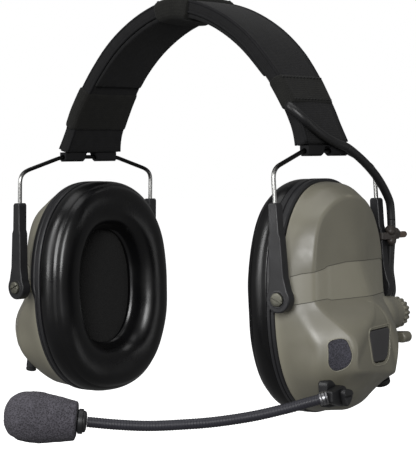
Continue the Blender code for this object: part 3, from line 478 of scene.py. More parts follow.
def rounded(points, radius, steps=6, closed=True):
    """Rounds the corners of an outline or a path of any dimension."""
    points = [Vector(point) for point in points]
    count = len(points)
    result = []
    for i in range(count):
        here = points[i]
        if not closed and i in (0, count - 1):
            result.append(here)
            continue
        before, after = points[i - 1], points[(i + 1) % count]
        start = here + (before - here).normalized() * min(radius, (before - here).length * 0.48)
        end = here + (after - here).normalized() * min(radius, (after - here).length * 0.48)
        for k in range(steps + 1):
            t = k / steps
            result.append((1 - t) ** 2 * start + 2 * t * (1 - t) * here + t**2 * end)
    return result


def tube(route, radius, sides=20, radius_at=None, closed=False):
    """A round tube along a route. radius_at(length along, turn) may change the radius."""
    count = len(route)
    rings = []
    side_way = None
    along = 0.0
    for i, point in enumerate(route):
        if closed:
            way = (route[(i + 1) % count] - route[i - 1]).normalized()
        else:
            way = (route[min(i + 1, count - 1)] - route[max(i - 1, 0)]).normalized()
        if side_way is None:
            side_way = way.orthogonal().normalized()
        side_way = (side_way - way * side_way.dot(way)).normalized()
        other = way.cross(side_way)
        if i:
            along += (point - route[i - 1]).length
        ring = []
        for k in range(sides):
            turn = math.tau * k / sides
            r = radius_at(along, turn) if radius_at else radius
            ring.append(point + (side_way * math.cos(turn) + other * math.sin(turn)) * r)
        rings.append(ring)
    return loft(rings, closed=closed)


def soften(made, width, segments=3, angle=30.0):
    """Rounds the moulded edges of a piece."""
    modifier = made.modifiers.new("soft_edges", "BEVEL")
    modifier.width = width * MM
    modifier.segments = segments
    modifier.limit_method = "ANGLE"
    modifier.angle_limit = math.radians(angle)
    modifier.harden_normals = True
    return made


def tool_object(name, bm, side=1):
    """A hidden cutting shape."""
    made = piece(name, bm, "black", None, side=side, place=cup_to_world)
    made.hide_render = made.hide_viewport = True
    return made


def apply_cut(target, cutter):
    """Cuts at once and removes the cutting shape."""
    modifier = target.modifiers.new("cut", "BOOLEAN")
    modifier.operation = "DIFFERENCE"
    modifier.object = cutter
    modifier.solver = "EXACT"
    depsgraph = bpy.context.evaluated_depsgraph_get()
    depsgraph.update()
    done = bpy.data.meshes.new_from_object(target.evaluated_get(depsgraph))
    target.modifiers.clear()
    old = target.data
    target.data = done
    bpy.data.meshes.remove(old)
    bpy.data.objects.remove(cutter, do_unlink=True)


def join(bm, other):
    """Adds another bmesh's faces to bm."""
    mesh = bpy.data.meshes.new("joined")
    other.to_mesh(mesh)
    other.free()
    bm.from_mesh(mesh)
    bpy.data.meshes.remove(mesh)
    return bm


# ---------------------------------------------------------------- headband
def arch_point(share):
    """The band's middle line; share runs from -1 at the right hinge to 1 at the left one."""
    angle = math.pi / 2 * (1 - share)
    power = 2 / ARCH_POWER
    across = math.copysign(abs(math.cos(angle)) ** power, share)
    return Vector((ARCH_HALF * across, 0, ARCH_BASE_Z + ARCH_RISE * abs(math.sin(angle)) ** power))


def arch_frame(share):
    """The middle line's point, its outward normal and the way across the band."""
    step = 0.004
    centre = arch_point(share)
    along = (arch_point(min(share + step, 1)) - arch_point(max(share - step, -1))).normalized()
    normal = Vector((-along.z, 0, along.x))
    ends = min(1.0, max(0.0, (abs(share) - 0.5) / 0.2))
    twist = Matrix.Rotation(math.copysign(TOE, share) * ends, 3, "Z")
    return centre, twist @ normal, twist @ Vector((0, 1, 0))


def shares_between(low, high, count):
    return [low + (high - low) * i / (count - 1) for i in range(count)]


def crown_share(share):
    t = min(1.0, max(0.0, (abs(share) - 0.35) / 0.35))
    return 1 - t * t * (3 - 2 * t)


def sleeve_section(share):
    """Half width, inner and outer height of the padded cover."""
    flare = END_FLARE * max(0.0, (abs(share) - 0.78) / (SLEEVE_END - 0.78)) ** 1.5
    lift = CROWN_LIFT * crown_share(share)
    return BAND_HALF + flare, lift - SLEEVE_THICK / 2, lift + SLEEVE_THICK / 2 + flare / 3


def pad_section(share):
    outer = CROWN_LIFT * crown_share(share) - SLEEVE_THICK / 2 - GAP
    return BAND_HALF - 0.6, outer - CROWN_PAD_THICK * (0.55 + 0.45 * crown_share(share)), outer


def strap_section(share, padded):
    half, inner, outer = sleeve_section(share)
    if padded:
        inner = pad_section(share)[1]
    return half + GAP, inner - GAP, outer + GAP


def section_points(half, inner, outer, corner, puff=0.0, piping=0.0, wide_steps=22):
    """A rounded rectangle as (across, out) points, with swelling faces and piped corners."""
    points = []
    middle = (inner + outer) / 2
    thick = (outer - inner) / 2

    def face(start, end, level, sign):
        for i in range(wide_steps + 1):
            t = i / wide_steps
            a = start + (end - start) * t
            points.append((a, level + sign * puff * (1 - (2 * t - 1) ** 2)))

    def turn(a0, b0, first):
        for i in range(1, 6):
            angle = first + math.pi / 2 * i / 6
            r = corner * (1 + piping * math.sin(math.pi * i / 6))
            points.append((a0 + r * math.cos(angle), b0 + r * math.sin(angle)))

    corner = min(corner, thick * 0.95)
    low, high = middle - thick, middle + thick
    face(-half + corner, half - corner, low, -1)
    turn(half - corner, low + corner, -math.pi / 2)
    points.append((half, middle))
    turn(half - corner, high - corner, 0)
    face(half - corner, -half + corner, high, 1)
    turn(-half + corner, high - corner, math.pi / 2)
    points.append((-half, middle))
    turn(-half + corner, low + corner, math.pi)
    return points


def cloth_noise(share, across, out, amount, length=22.0):
    """Small slow waves of a fabric surface, in millimetres."""
    where = Vector((share * 116.0 / length, across / (length * 1.4), out / length))
    return amount * (noise.noise(where) + 0.5 * noise.noise(where * 2.3 + Vector((7, 3, 1))))


def band_piece(name, low, high, count, section, look, replaces, corner, puff, piping, waves, seams=()):
    """A fabric body along the band, closed at both ends. seams are (across, depth, face side)."""
    shares = shares_between(low, high, count)
    rings = []
    run = [0.0]
    for before, share in zip(shares, shares[1:]):
        run.append(run[-1] + (arch_point(share) - arch_point(before)).length)
    for number, share in enumerate(shares):
        centre, normal, wide = arch_frame(share)
        half, inner, outer = section(share)
        end = min(number, count - 1 - number) / 3.0
        pinch = 1.0 if end >= 1 else 0.72 + 0.28 * math.sqrt(max(0.0, 1 - (1 - end) ** 2))
        middle = (inner + outer) / 2
        ring = []
        for a, b in section_points(half, inner, outer, corner, puff * min(1.0, end + 0.2), piping):
            b = middle + (b - middle) * pinch
            a = a * (0.985 + 0.015 * pinch)
            shift = cloth_noise(share, a, b, waves)
            for across, depth, way in seams:
                if way * (b - middle) > 0:
                    shift -= depth * math.exp(-(((a - across) / 0.55) ** 2))
            out = 1 if b > middle else -1
            ring.append(centre + wide * a + normal * (b + out * shift))
        rings.append(ring)
    perimeter = [0.0]
    first = rings[0]
    for i in range(len(first)):
        perimeter.append(perimeter[-1] + (first[(i + 1) % len(first)] - first[i]).length)
    bm = loft(rings, uv=lambda row, column: (run[row], perimeter[column]))
    return piece(name, bm, look, "headband", (replaces,))


def stitches(path, lift, length=1.6, gap=1.1, thick=0.32):
    """A row of thread stitches lying along a path; lift is the way out of the fabric."""
    bm = None
    run = 0.0
    spots = []
    for a, b in zip(path, path[1:]):
        span = (b - a).length
        while run < span:
            spots.append((a + (b - a) * (run / span), (b - a).normalized()))
            run += length + gap
        run -= span
    for spot, way in spots:
        steps = ((-0.5, -0.6), (-0.25, 0.45), (0.25, 0.45), (0.5, -0.6))
        route = [spot + way * length * along + lift * thick * up for along, up in steps]
        one = tube(curve_through(route, 2), thick, 6)
        bm = one if bm is None else join(bm, one)
    return bm


def make_headband():
    seams = [(across, 0.35, 1) for across in (-13.9, 13.9)] + [(across, 0.3, -1) for across in (-13.6, 13.6)]
    cover = band_piece(
        "padded_cover", -SLEEVE_END, SLEEVE_END, 220, sleeve_section, "textile", "band_cover",
        2.0, 0.35, 0.10, 0.16, seams,
    )
    seams = ((-11.6, 0.4, -1), (2.0, 0.3, -1), (11.6, 0.4, -1))
    pad = band_piece(
        "crown_cushion", -PAD_END, PAD_END, 130, pad_section, "textile", "crown_pad",
        1.0, 0.0, 0.0, 0.10, seams,
    )
    for name, (low, high), padded, swell in (
        ("wrap_crown", CROWN_WRAP, True, 0.9),
        ("wrap_left", LEFT_WRAP, False, 0.0),
        ("wrap_right", RIGHT_WRAP, False, 0.5),
    ):
        def outside(share, padded=padded, thick=WRAP_THICK if swell else 0.45 * WRAP_THICK):
            half, inner, outer = strap_section(share, padded)
            return half + WRAP_THICK, inner - 0.65 * WRAP_THICK, outer + thick

        wrap = band_piece(name + "_strap", low, high, 36, outside, "webbing", name, 2.6, swell, 0.0, 0.22)
        sunk = 0.25 if padded else 0.0
        for end, share in (("low", low + 0.012), ("high", high - 0.012)):
            half, _, outer = outside(share)
            centre, normal, wide = arch_frame(share)
            level = centre + normal * (outer - sunk + 0.18)
            path = [level + wide * a for a in shares_between(-half + 3, half - 3, 14)]
            piece(f"{name}_stitches_{end}", stitches(path, normal), "thread", "headband")
    for way, word in ((-1, "front"), (1, "rear")):
        for face, inset in (("outer", -0.35), ("inner", 0.35)):
            line = []
            for share in shares_between(-SLEEVE_END + 0.004, SLEEVE_END - 0.004, 120):
                centre, normal, wide = arch_frame(share)
                half, inner, outer = sleeve_section(share)
                level = outer if face == "outer" else inner
                line.append(centre + wide * way * (half - 0.55) + normal * (level + inset))
            piece(f"piping_{word}_{face}", tube(line, 0.75, 10), "textile_edge", "headband")


# ---------------------------------------------------------------- yokes
def leg_lean(z):
    """How far a yoke's leg stands out from the pivot axis at height z."""
    return (BEND_OUT - PIVOT_OUT) * z / (BEND_DROP - PIVOT_DROP)


def make_yoke(side, word):
    half = [
        (0, 0, 0),
        (0, -TAB_HALF - 0.9, -0.02),
        (0.80, -LEG_Y + 3.0, BEND_DROP + 1.0),
        (PIVOT_OUT + leg_lean(54.0), -LEG_Y, PIVOT_DROP + 54.0),
        (PIVOT_OUT + leg_lean(LEG_END), -LEG_Y, PIVOT_DROP + LEG_END),
    ]
    route = [half[-1], *half[-2:0:-1], *[(x, -y, z) for x, y, z in half[1:]]]
    route = rounded(route, 3.2, 8, closed=False)
    dense = []
    for a, b in zip(route, route[1:]):
        dense += [a + (b - a) * i / 4 for i in range(4)]
    dense.append(route[-1])
    wire = tube(dense, WIRE_DIAMETER / 2, 20)
    piece(
        "yoke_wire_bent_" + word, wire, "wire", "yoke_" + word, ("yoke_wire_" + word,),
        side, yoke_to_world,
    )
    for end, way in (("front", -1), ("rear", 1)):
        arm = arm_shape(way)
        name = f"yoke_arm_{end}_{word}"
        made = piece(
            name + "_moulded", arm, "black", "slider_" + word, (name,), side, cup_to_world
        )
        soften(made, 1.15, 4, 32.0)
        make_screw(f"pivot_screw_{end}", way, side, word)


def arm_shape(way):
    """A sliding arm: a neck round the wire's leg and a disc round the pivot."""
    neck = [(2.35, ARM_TOP - 1.0), (2.45, 28.2), (3.2, 26.6), (3.6, 10.0)]
    left = [(x + leg_lean(z), z) for x, z in neck]
    right = [(-x + leg_lean(z), z) for x, z in neck]
    top = [(1.7 + leg_lean(ARM_TOP), ARM_TOP), (-1.7 + leg_lean(ARM_TOP), ARM_TOP)]
    arc = []
    radius = ARM_DISC + 0.15
    for i in range(33):
        angle = math.radians(36 - 252 * i / 32)
        arc.append((radius * math.cos(angle), radius * math.sin(angle)))
    outline = left + arc + right[::-1] + top[::-1]
    return prism(outline, "Y", *sorted((way * ARM_INNER, way * ARM_OUTER)))


def make_screw(base, way, side, word):
    """Slotted cheese-head screw in an arm's eye, with a countersunk ring round it."""
    head = way * (ARM_OUTER + 1.25)
    profile = (
        (0.05, 0.0), (1.6, 0.02), (2.5, 0.06), (2.85, 0.22), (3.0, 0.5), (3.0, 1.2), (1.2, 1.2), (1.2, 9.0),
        (0.05, 9.0),
    )
    bm = turned(profile, (0, head, 0), (0, -way, 0), 48)
    screw = piece(
        f"{base}_slotted_{word}", bm, "screw", "cup_" + word, (f"{base}_{word}",),
        side, cup_to_world, 40,
    )
    tilt = Matrix.Rotation(math.radians(24), 3, "Y")
    depths = sorted((head + way, head - way * 0.65))
    slot = prism([(-4, -0.38), (4, -0.38), (4, 0.38), (-4, 0.38)], "Y", *depths)
    for vert in slot.verts:
        vert.co = tilt @ vert.co
    apply_cut(screw, tool_object("slot", slot, side))
    screw.data.set_sharp_from_angle(angle=math.radians(35))
    profile = ((3.1, 0), (3.5, 0.12), (3.9, 0.0), (3.9, -0.6), (3.1, -0.6))
    rim = turned(profile, (0, way * ARM_OUTER, 0), (0, way, 0), 48)
    piece(f"{base}_rim_{word}", rim, "black", "slider_" + word, (), side, cup_to_world, 40)


# ---------------------------------------------------------------- ear cups
def superellipse(half_y, half_z, angle, x):
    c, s = math.cos(angle), math.sin(angle)
    radius = (abs(c / half_y) ** CUP_POWER + abs(s / half_z) ** CUP_POWER) ** (-1 / CUP_POWER)
    return Vector((x, radius * c, CUP_CENTRE_Z + radius * s))


def oval(half_y, half_z, x, count=160):
    return [superellipse(half_y, half_z, math.tau * i / count, x) for i in range(count)]


def spoke(angle):
    """Base, turn of the wall and edge of the face in one direction round the cup."""
    degrees = math.degrees(angle) % 360
    count = len(SPOKES)
    index = max(i for i in range(count) if SPOKES[i][0] <= degrees)
    start = SPOKES[index][0]
    end = SPOKES[(index + 1) % count][0] or 360
    t = (degrees - start) / (end - start)
    found = []
    for ring in (1, 2):
        a, b, c, d = (Vector(SPOKES[(index + k) % count][ring]) for k in (-1, 0, 1, 2))
        cubic = (2 * a - 5 * b + 4 * c - d) * t**2 + (3 * b - a - 3 * c + d) * t**3
        point = 0.5 * (2 * b + (c - a) * t + cubic)
        found.append(Vector((point.z, point.x, point.y)))
    skirt = lower_share(angle)
    half_y, half_z = SHELL_HALF_Y + SKIRT_FLARE * skirt, SHELL_HALF_Z + SKIRT_FLARE * skirt
    return [superellipse(half_y, half_z, angle, SHELL_BASE - SKIRT_DROP * skirt), *found]


def lower_share(angle):
    """0 round the cup's upper half, rising to 1 just below the pivots."""
    t = min(1.0, max(0.0, (0.06 - math.sin(angle)) / 0.2))
    return t * t * (3 - 2 * t)


def face_depth(y, z):
    """Depth of the outer face: a dome above, a deeper flat below, blended across the bridge."""
    t = min(1.0, max(0.0, (8.0 - z) / 21.0))
    blend = t * t * (3 - 2 * t)
    dome = UPPER_FACE - 1.2 * (y / 26) ** 2 - 0.8 * ((z - 12) / 30) ** 2
    return dome * (1 - blend) + LOWER_FACE * blend


SHELL_COUNT = 180
WALL_ROUND = 3.0
EDGE_ROUND = 1.5


def shell_profile(angle):
    """Points from the base to the middle of the face in one direction, with rounded corners."""
    base, turn, edge = spoke(angle)
    middle = Vector((0, 1.0, -4.0))
    inner = []
    for inward in (0.12, 0.22, 0.34, 0.45, 0.56, 0.68, 0.78, 0.88, 0.96):
        y = edge.y + (middle.y - edge.y) * inward
        z = edge.z + (middle.z - edge.z) * inward
        weight = inward * (1.4 - 0.4 * inward)
        inner.append(Vector((edge.x + (face_depth(y, z) - edge.x) * weight, y, z)))
    points = []

    def run(a, b, count):
        points.extend(a + (b - a) * i / count for i in range(count))

    def corner(a, b, c, reach, count):
        start = b + (a - b).normalized() * min(reach, (a - b).length * 0.45)
        end = b + (c - b).normalized() * min(reach, (c - b).length * 0.45)
        for i in range(count):
            t = i / count
            points.append((1 - t) ** 2 * start + 2 * t * (1 - t) * b + t**2 * end)
        return start, end

    first = turn + (base - turn).normalized() * min(WALL_ROUND, (base - turn).length * 0.45)
    run(base, first, 5)
    _, second = corner(base, turn, edge, WALL_ROUND, 8)
    third = edge + (turn - edge).normalized() * min(EDGE_ROUND, (turn - edge).length * 0.45)
    run(second, third, 6)
    _, fourth = corner(turn, edge, inner[1], EDGE_ROUND, 8)
    points.extend(curve_through([fourth, *inner[1:]], 3))
    return points


def shell_rings():
    """Rings of the outer surface, from its base inwards."""
    profiles = [shell_profile(math.tau * i / SHELL_COUNT) for i in range(SHELL_COUNT)]
    return [list(ring) for ring in zip(*profiles)]


def shell_surface():
    """The outer surface as a tree that points can be dropped onto along x."""
    bm = loft(shell_rings())
    tree = BVHTree.FromBMesh(bm)
    bm.free()
    return tree


def drop_on(tree, y, z, lift=0.0):
    """The surface point at (y, z) seen from outside, lifted along the surface normal."""
    hit, normal, _, _ = tree.ray_cast(Vector((60, y, z)), Vector((-1, 0, 0)))
    if hit is None:
        hit, normal, _, _ = tree.find_nearest(Vector((5, y, z)))
    return hit + normal * (lift if normal.x >= 0 else -lift)


def outline_on(tree, outline, lift, step=1.0):
    """A closed flat outline laid on the surface with even steps."""
    points = []
    for a, b in zip(outline, [*outline[1:], outline[0]]):
        a, b = Vector(a), Vector(b)
        count = max(1, round((b - a).length / step))
        points += [a + (b - a) * i / count for i in range(count)]
    return [drop_on(tree, p.x, p.y, lift) for p in points]


def spread(outline, amount):
    """Moves an outline outwards from its middle by about the amount."""
    middle = sum((Vector(p) for p in outline), Vector((0, 0))) / len(outline)
    return [Vector(p) + (Vector(p) - middle).normalized() * amount for p in outline]


def make_cup(side, word):
    def part(name, bm, look, slot, replaces=(), sharp=None):
        return piece(name + "_" + word, bm, look, "cup_" + word, replaces, side, cup_to_world, sharp)

    tree = shell_surface()
    rings = shell_rings()
    shell = part("cup_shell_moulded", loft(rings), "green", "green_shell", ("cup_shell_" + word,))
    window = rounded(MIC_WINDOW, 2.2, 6)
    pad = rounded(PUSH_PAD, 2.6, 6)
    for outline, depth in ((window, 8.0), (pad, LOWER_FACE - 2.2)):
        apply_cut(shell, tool_object("recess", prism(spread(outline, 0.25), "X", depth, 40), side))
    shell.data.set_sharp_from_angle(angle=math.radians(50))

    # The foam window: a granular skin on the same curved surface, a little below it.
    grid = fill_outline(tree, spread(window, 0.2), -0.3, 0.42, 0.13)
    part("mic_window_foam", grid, "window", "mic_foam", ("mic_window_" + word,))
    rim = tube(outline_on(tree, spread(window, 0.45), -0.12, 0.6), 0.24, 10, closed=True)
    part("mic_window_rim", rim, "green", "green_shell")
    # The ring round the push pad takes the lighter green: a painted highlight line.
    rim = tube(outline_on(tree, spread(pad, 1.5), -0.10, 0.8), 0.26, 10, closed=True)
    part("push_pad_rim", rim, "green_painted_highlight", "green_shell")

    face = prism([tuple(p) for p in spread(pad, -0.35)], "X", LOWER_FACE - 2.4, LOWER_FACE + 0.35)
    made = piece(
        "push_pad_face_" + word, face, "pad", "pad_" + word, ("push_pad_" + word,),
        side, cup_to_world,
    )
    soften(made, 0.7, 4)

    make_bridge(side, word)
    for way, end in ((-1, "front"), (1, "rear")):
        profile = ((0.05, 0), (2.4, 0), (2.8, 0.4), (3.0, 1.0), (3.0, 8.5), (0.05, 8.5))
        bush = turned(profile, (-0.5, way * (ARM_INNER - GAP), 0), (0, -way, 0), 56)
        part("pivot_bush_" + end, bush, "green", "green_shell", (), 40)

    ring = (
        (39.3, -3.35), (39.9, -3.9), (39.9, -5.9), (39.35, -6.3), (39.35, -6.8), (39.9, -7.2), (39.9, -9.5),
        (39.5, -10.0), (30.0, -10.0), (24.2, -9.9), (24.0, -9.0), (24.0, -3.4),
    )
    rings = [oval(half, half + (13.0 if half > 35 else 11.0 if half > 28 else 10.0), x) for half, x in ring]
    for line in rings:
        for i, point in enumerate(line):
            thinner = SKIRT_DROP / (SHELL_BASE - RING_BACK) * lower_share(math.tau * i / len(line))
            point.x = RING_BACK + (point.x - RING_BACK) * (1 - thinner)
    part("base_ring_stepped", loft(rings, closed=True), "black", "black_plastic", ("base_ring_" + word,), 35)

    make_seal(part)


def fill_outline(tree, outline, lift, cell, grain):
    """A skin over a closed outline, dropped on the surface, with a grainy foam surface."""
    outline = [Vector(p) for p in outline]
    middle = sum(outline, Vector((0, 0))) / len(outline)
    dense = []
    for a, b in zip(outline, [*outline[1:], outline[0]]):
        count = max(1, round((b - a).length / cell))
        dense += [a + (b - a) * i / count for i in range(count)]
    rows = max(6, round(7.0 / cell))
    rings = []
    for row in range(rows):
        share = 1 - row / rows
        edge = min(1.0, row / 3.0)
        ring = []
        for p in dense:
            q = middle + (p - middle) * share
            layers = ((1.7, 3.0), (3.9, 8.0))
            rough = sum(grain * noise.noise(Vector((q.x * fine, q.y * fine, z))) for fine, z in layers)
            ring.append(drop_on(tree, q.x, q.y, lift - 0.5 * (1 - edge) + rough * edge))
        rings.append(ring)
    skirt = [point - Vector((1.6, 0, 0)) for point in rings[0]]
    return loft([skirt, *rings])


BRIDGE_LIFT = 1.05
BRIDGE_SWEEP = math.radians(84.5)
BRIDGE_EDGE = ((0.0, -0.6), (0.0, -0.35), (0.06, -0.15), (0.2, -0.04), (0.45, 0.0))  # inset, lift
BRIDGE_FLARE = 4.4  # the band's rear end stands further out at its lower edge


def height_at(line, y):
    """Height of a polyline of (y, z) points at y."""
    line = sorted(line)
    for (y0, z0), (y1, z1) in zip(line, line[1:]):
        if y0 <= y <= y1:
            return z0 + (z1 - z0) * (y - y0) / (y1 - y0)
    return line[0][1] if y < line[0][0] else line[-1][1]


def make_bridge(side, word):
    """The raised band across the cup: cross-sections laid on the shell, turned about a line inside it."""
    tree = shell_surface()

    def on_shell(turn, z, lift):
        start = Vector((SHELL_BASE, 0, z))
        hit, normal, _, _ = tree.ray_cast(start, Vector((math.cos(turn), math.sin(turn), 0)))
        out = 1 if normal.dot(hit - start) > 0 else -1
        return hit + normal * (out * lift)

    rings, low_line, top_line = [], [], []
    for i in range(171):
        turn = -BRIDGE_SWEEP + 2 * BRIDGE_SWEEP * i / 170
        y = on_shell(turn, 5.0, 0).y
        low, top = height_at(BRIDGE_LOW, y), height_at(BRIDGE_TOP, y)
        rear = min(1.0, max(0.0, (math.degrees(turn) - 38) / 24))
        flare = BRIDGE_FLARE * rear * rear * (3 - 2 * rear)
        lifts = [BRIDGE_LIFT + flare * (1 - k / 12) for k in range(13)]
        ring = [on_shell(turn, low + BRIDGE_EDGE[0][0], -0.8)]
        ring += [on_shell(turn, low + inset, lifts[0] + lift) for inset, lift in BRIDGE_EDGE[1:]]
        ring += [on_shell(turn, low + (top - low) * k / 12, lifts[k]) for k in range(1, 12)]
        ring += [on_shell(turn, top - inset, lifts[12] + lift) for inset, lift in BRIDGE_EDGE[:0:-1]]
        ring += [on_shell(turn, top, -0.8)]
        for point in ring:
            point.y = min(point.y, ARM_INNER - GAP)
        rings.append(ring)
        low_line.append(on_shell(turn, low - 0.12, 0))
        top_line.append(on_shell(turn, top + 0.12, 0))
    piece(
        "bridge_raised_" + word, loft(rings), "green", "cup_" + word, ("bridge_band_" + word,),
        side, cup_to_world, 60,
    )
    # Thin dark tubes along the band's lower and upper edges: painted shade in the gaps beside the band.
    for end, line in (("low", low_line), ("top", top_line)):
        seam = tube(line, 0.16, 8)
        piece(
            f"bridge_seam_{end}_{word}", seam, "green_painted_shade", "cup_" + word, (),
            side, cup_to_world,
        )


# Section of the ear cushion: half depth, half height and x, from its outer foot round to its inner one.
SEAL_SECTION = (
    (39.2, 52.2, -10.35), (39.75, 52.75, -12.6), (39.6, 52.6, -15.6), (38.5, 51.5, -18.6),
    (37.3, 50.3, -19.9), (36.9, 49.9, -20.6), (35.6, 48.4, -22.2), (32.6, 45.0, -23.7),
    (29.0, 40.8, -24.15), (25.4, 36.4, -23.4), (22.7, 33.2, -21.4), (21.0, 31.2, -18.6),
    (20.0, 30.1, -15.6), (19.2, 29.3, -13.8), (18.4, 28.5, -12.9), (18.3, 28.3, -12.5),
    (18.7, 28.6, -11.9), (19.0, 28.9, -10.35),
)


def make_seal(part):
    """The ear cushion: a rolled skin with a welded seam outside and a lip inside."""
    section = curve_through([Vector(p) for p in SEAL_SECTION], 5)
    rings = []
    for number, (half_y, half_z, x) in enumerate(section):
        ring = oval(half_y, half_z, x, 200)
        roll = math.sin(math.pi * number / (len(section) - 1))
        for i, point in enumerate(ring):
            angle = math.tau * i / 200
            wave = roll * noise.noise(Vector((math.cos(angle) * 2.6, math.sin(angle) * 2.6, number * 0.035)))
            ring[i] = point + Vector((-0.28 * wave, 0.004 * wave * point.y, 0.004 * wave * point.z))
        rings.append(ring)
    seal = part("ear_cushion", loft(rings, closed=True), "seal", "seal_skin")
    word = seal.name.rsplit("_", 1)[1]
    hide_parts("ear_seal_" + word)
    rows = []
    for step in range(9):
        share = 1 - step / 9
        ring = oval(23.4 * share, 33.4 * share, 0, 120)
        level = -10.2 + 0.9 * (1 - share)
        rows.append([Vector((level + 0.15 * noise.noise(p * 0.5), p.y, p.z)) for p in ring])
    low = [Vector((-6.0, p.y, p.z)) for p in rows[0]]
    liner = part("foam_liner_soft", loft([low, *rows]), "liner", "acoustic_foam", ("foam_liner_" + word,))


# ---------------------------------------------------------------- controls
def ribbed(tip, root, ribs):
    """Radius of a ribbed grip; ribs fade out at its ends."""

    def radius_at(radius, height, turn):
        if radius < root - 0.1:
            return radius
        wave = 0.5 + 0.5 * math.cos(turn * ribs)
        return radius - (tip - root) * (1 - wave**0.6)

    return radius_at


def make_controls(side, word):
    def part(name, bm, look, slot, body, replaces=(), sharp=40):
        return piece(name, bm, look, body, replaces, side, cup_to_world, sharp)

    cup = "cup_" + word
    profile = (
        (0.05, 0), (5.6, 0), (7.0, 0.4), (7.7, 1.2), (8.0, 2.2), (8.05, 6.0), (8.4, 8.0), (9.2, 11.0),
        (10.0, 15.0), (10.0, 19.6), (0.05, 19.6),
    )
    boss = turned(profile, (BOSS_X, BOSS_END, BOSS_Z), (0, -1, 0), 72)
    boss = part("rear_boss_moulded_" + word, boss, "green", "green_shell", cup, ("rear_boss_" + word,), 50)
    # The step ring takes the lighter green: a painted highlight.
    profile = ((0.05, -0.2), (6.6, -0.2), (6.9, 0.2), (6.9, 1.6), (0.05, 1.6))
    step = turned(profile, (BOSS_X, BOSS_END - 0.8, BOSS_Z), (0, 1, 0), 64)
    part("boss_step_" + word, step, "green_painted_highlight", "green_shell", cup)
    tall = KNOB_LONG - 0.2 if side == 1 else CAP_LONG - 0.2
    grip = (
        (0.05, 0), (6.2, 0), (6.9, 0.3), (7.4, 0.9), (7.5, 1.6), (7.5, tall - 2.2), (7.3, tall - 1.1),
        (6.7, tall - 0.5), (6.0, tall - 0.25), (5.2, tall - 0.35), (4.8, tall - 0.9), (0.05, tall - 1.0),
    )
    centre = (BOSS_X, BOSS_END + GAP + 0.2, BOSS_Z)
    grip = turned(grip, centre, (0, 1, 0), 18 * 12, ribbed(7.5, 6.75, 18))
    if side == 1:
        part("control_knob_ribbed", grip, "green_dark", "green_shell", "knob", ("control_knob",), 40)
    else:
        part("battery_cap_ribbed", grip, "green_dark", "green_shell", "battery_door", ("battery_cap",), 40)


def make_left_controls():
    def part(name, bm, look, slot, body="cup_left", replaces=(), sharp=None):
        return piece(name, bm, look, body, replaces, 1, cup_to_world, sharp)

    blade = rounded([(-2.0, -2.3), (6.2, -2.6), (7.6, 0), (6.2, 2.6), (-2.0, 2.3), (-3.0, 0)], 1.5, 6)
    outline = [(LEVER_X + p.x, LEVER_Z + p.y) for p in blade]
    lever = prism(outline, "Y", LEVER_START + 0.1, LEVER_END)
    lever = part("mode_lever_paddle", lever, "green_dark", "green_shell", "lever", ("mode_lever",))
    soften(lever, 1.4, 5)
    profile = ((0.05, 0), (2.4, 0), (2.1, 0.8), (2.0, 1.6), (2.0, 8), (0.05, 8))
    stem = turned(profile, (LEVER_X, LEVER_START - 0.1, LEVER_Z), (0, -1, 0), 40)
    part("lever_stem", stem, "green", "green_shell", sharp=40)

    profile = (
        (0.05, 0), (1.95, 0), (2.15, 0.4), (2.2, 1.2), (2.45, 1.5), (2.45, 2.1), (2.0, 2.4), (2.0, 9),
        (0.05, 9),
    )
    gland = turned(profile, GLAND, (0, -1, 0), 40)
    part("lead_gland_ribbed", gland, "rubber", "seal_rubber", replaces=("lead_gland",), sharp=40)

    start, end = Vector(SOCKET_START), Vector(SOCKET_END)
    way = (end - start).normalized()
    r = SOCKET_R
    ridged = [(0.05, 0), (r - 0.3, 0), (r, 0.3)]
    for ridge in range(4):
        foot = ridge * 1.3
        ridged += [(r, 0.9 + foot), (r - 0.4, 1.15 + foot), (r - 0.4, 1.6 + foot), (r, 1.85 + foot)]
    ridged += [(r, 13.5), (0.05, 13.5)]
    socket = turned(ridged, end, -way, 60)
    part("downlead_socket_ridged", socket, "black", "black_plastic", replaces=("downlead_socket",), sharp=40)
    r = SOCKET_CAP_R
    profile = (
        (0.05, 0), (r - 0.2, 0), (r, 0.3), (r, 1.9), (r - 0.3, 2.5), (r - 0.9, 2.9), (r - 1.4, 3.0),
        (0.05, 2.8),
    )
    cap = turned(profile, end + way * GAP, way, 60)
    part("socket_cap_rubber", cap, "rubber", "seal_rubber", "cap", ("socket_cap",), 40)


def make_right_plug():
    top, low = Vector(PLUG_START), Vector(PLUG_END)
    way = (top - low).normalized()
    profile = (
        (0.05, 0), (2.2, 0), (2.5, 0.25), (2.6, 0.7), (2.6, 1.4), (2.4, 1.6), (2.4, 2.0), (2.6, 2.2),
        (2.6, 14.0), (0.05, 14.0),
    )
    plug = turned(profile, low, way, 48)
    piece(
        "boom_port_plug_turned", plug, "black", "cup_right", ("boom_port_plug",),
        -1, cup_to_world, 40,
    )


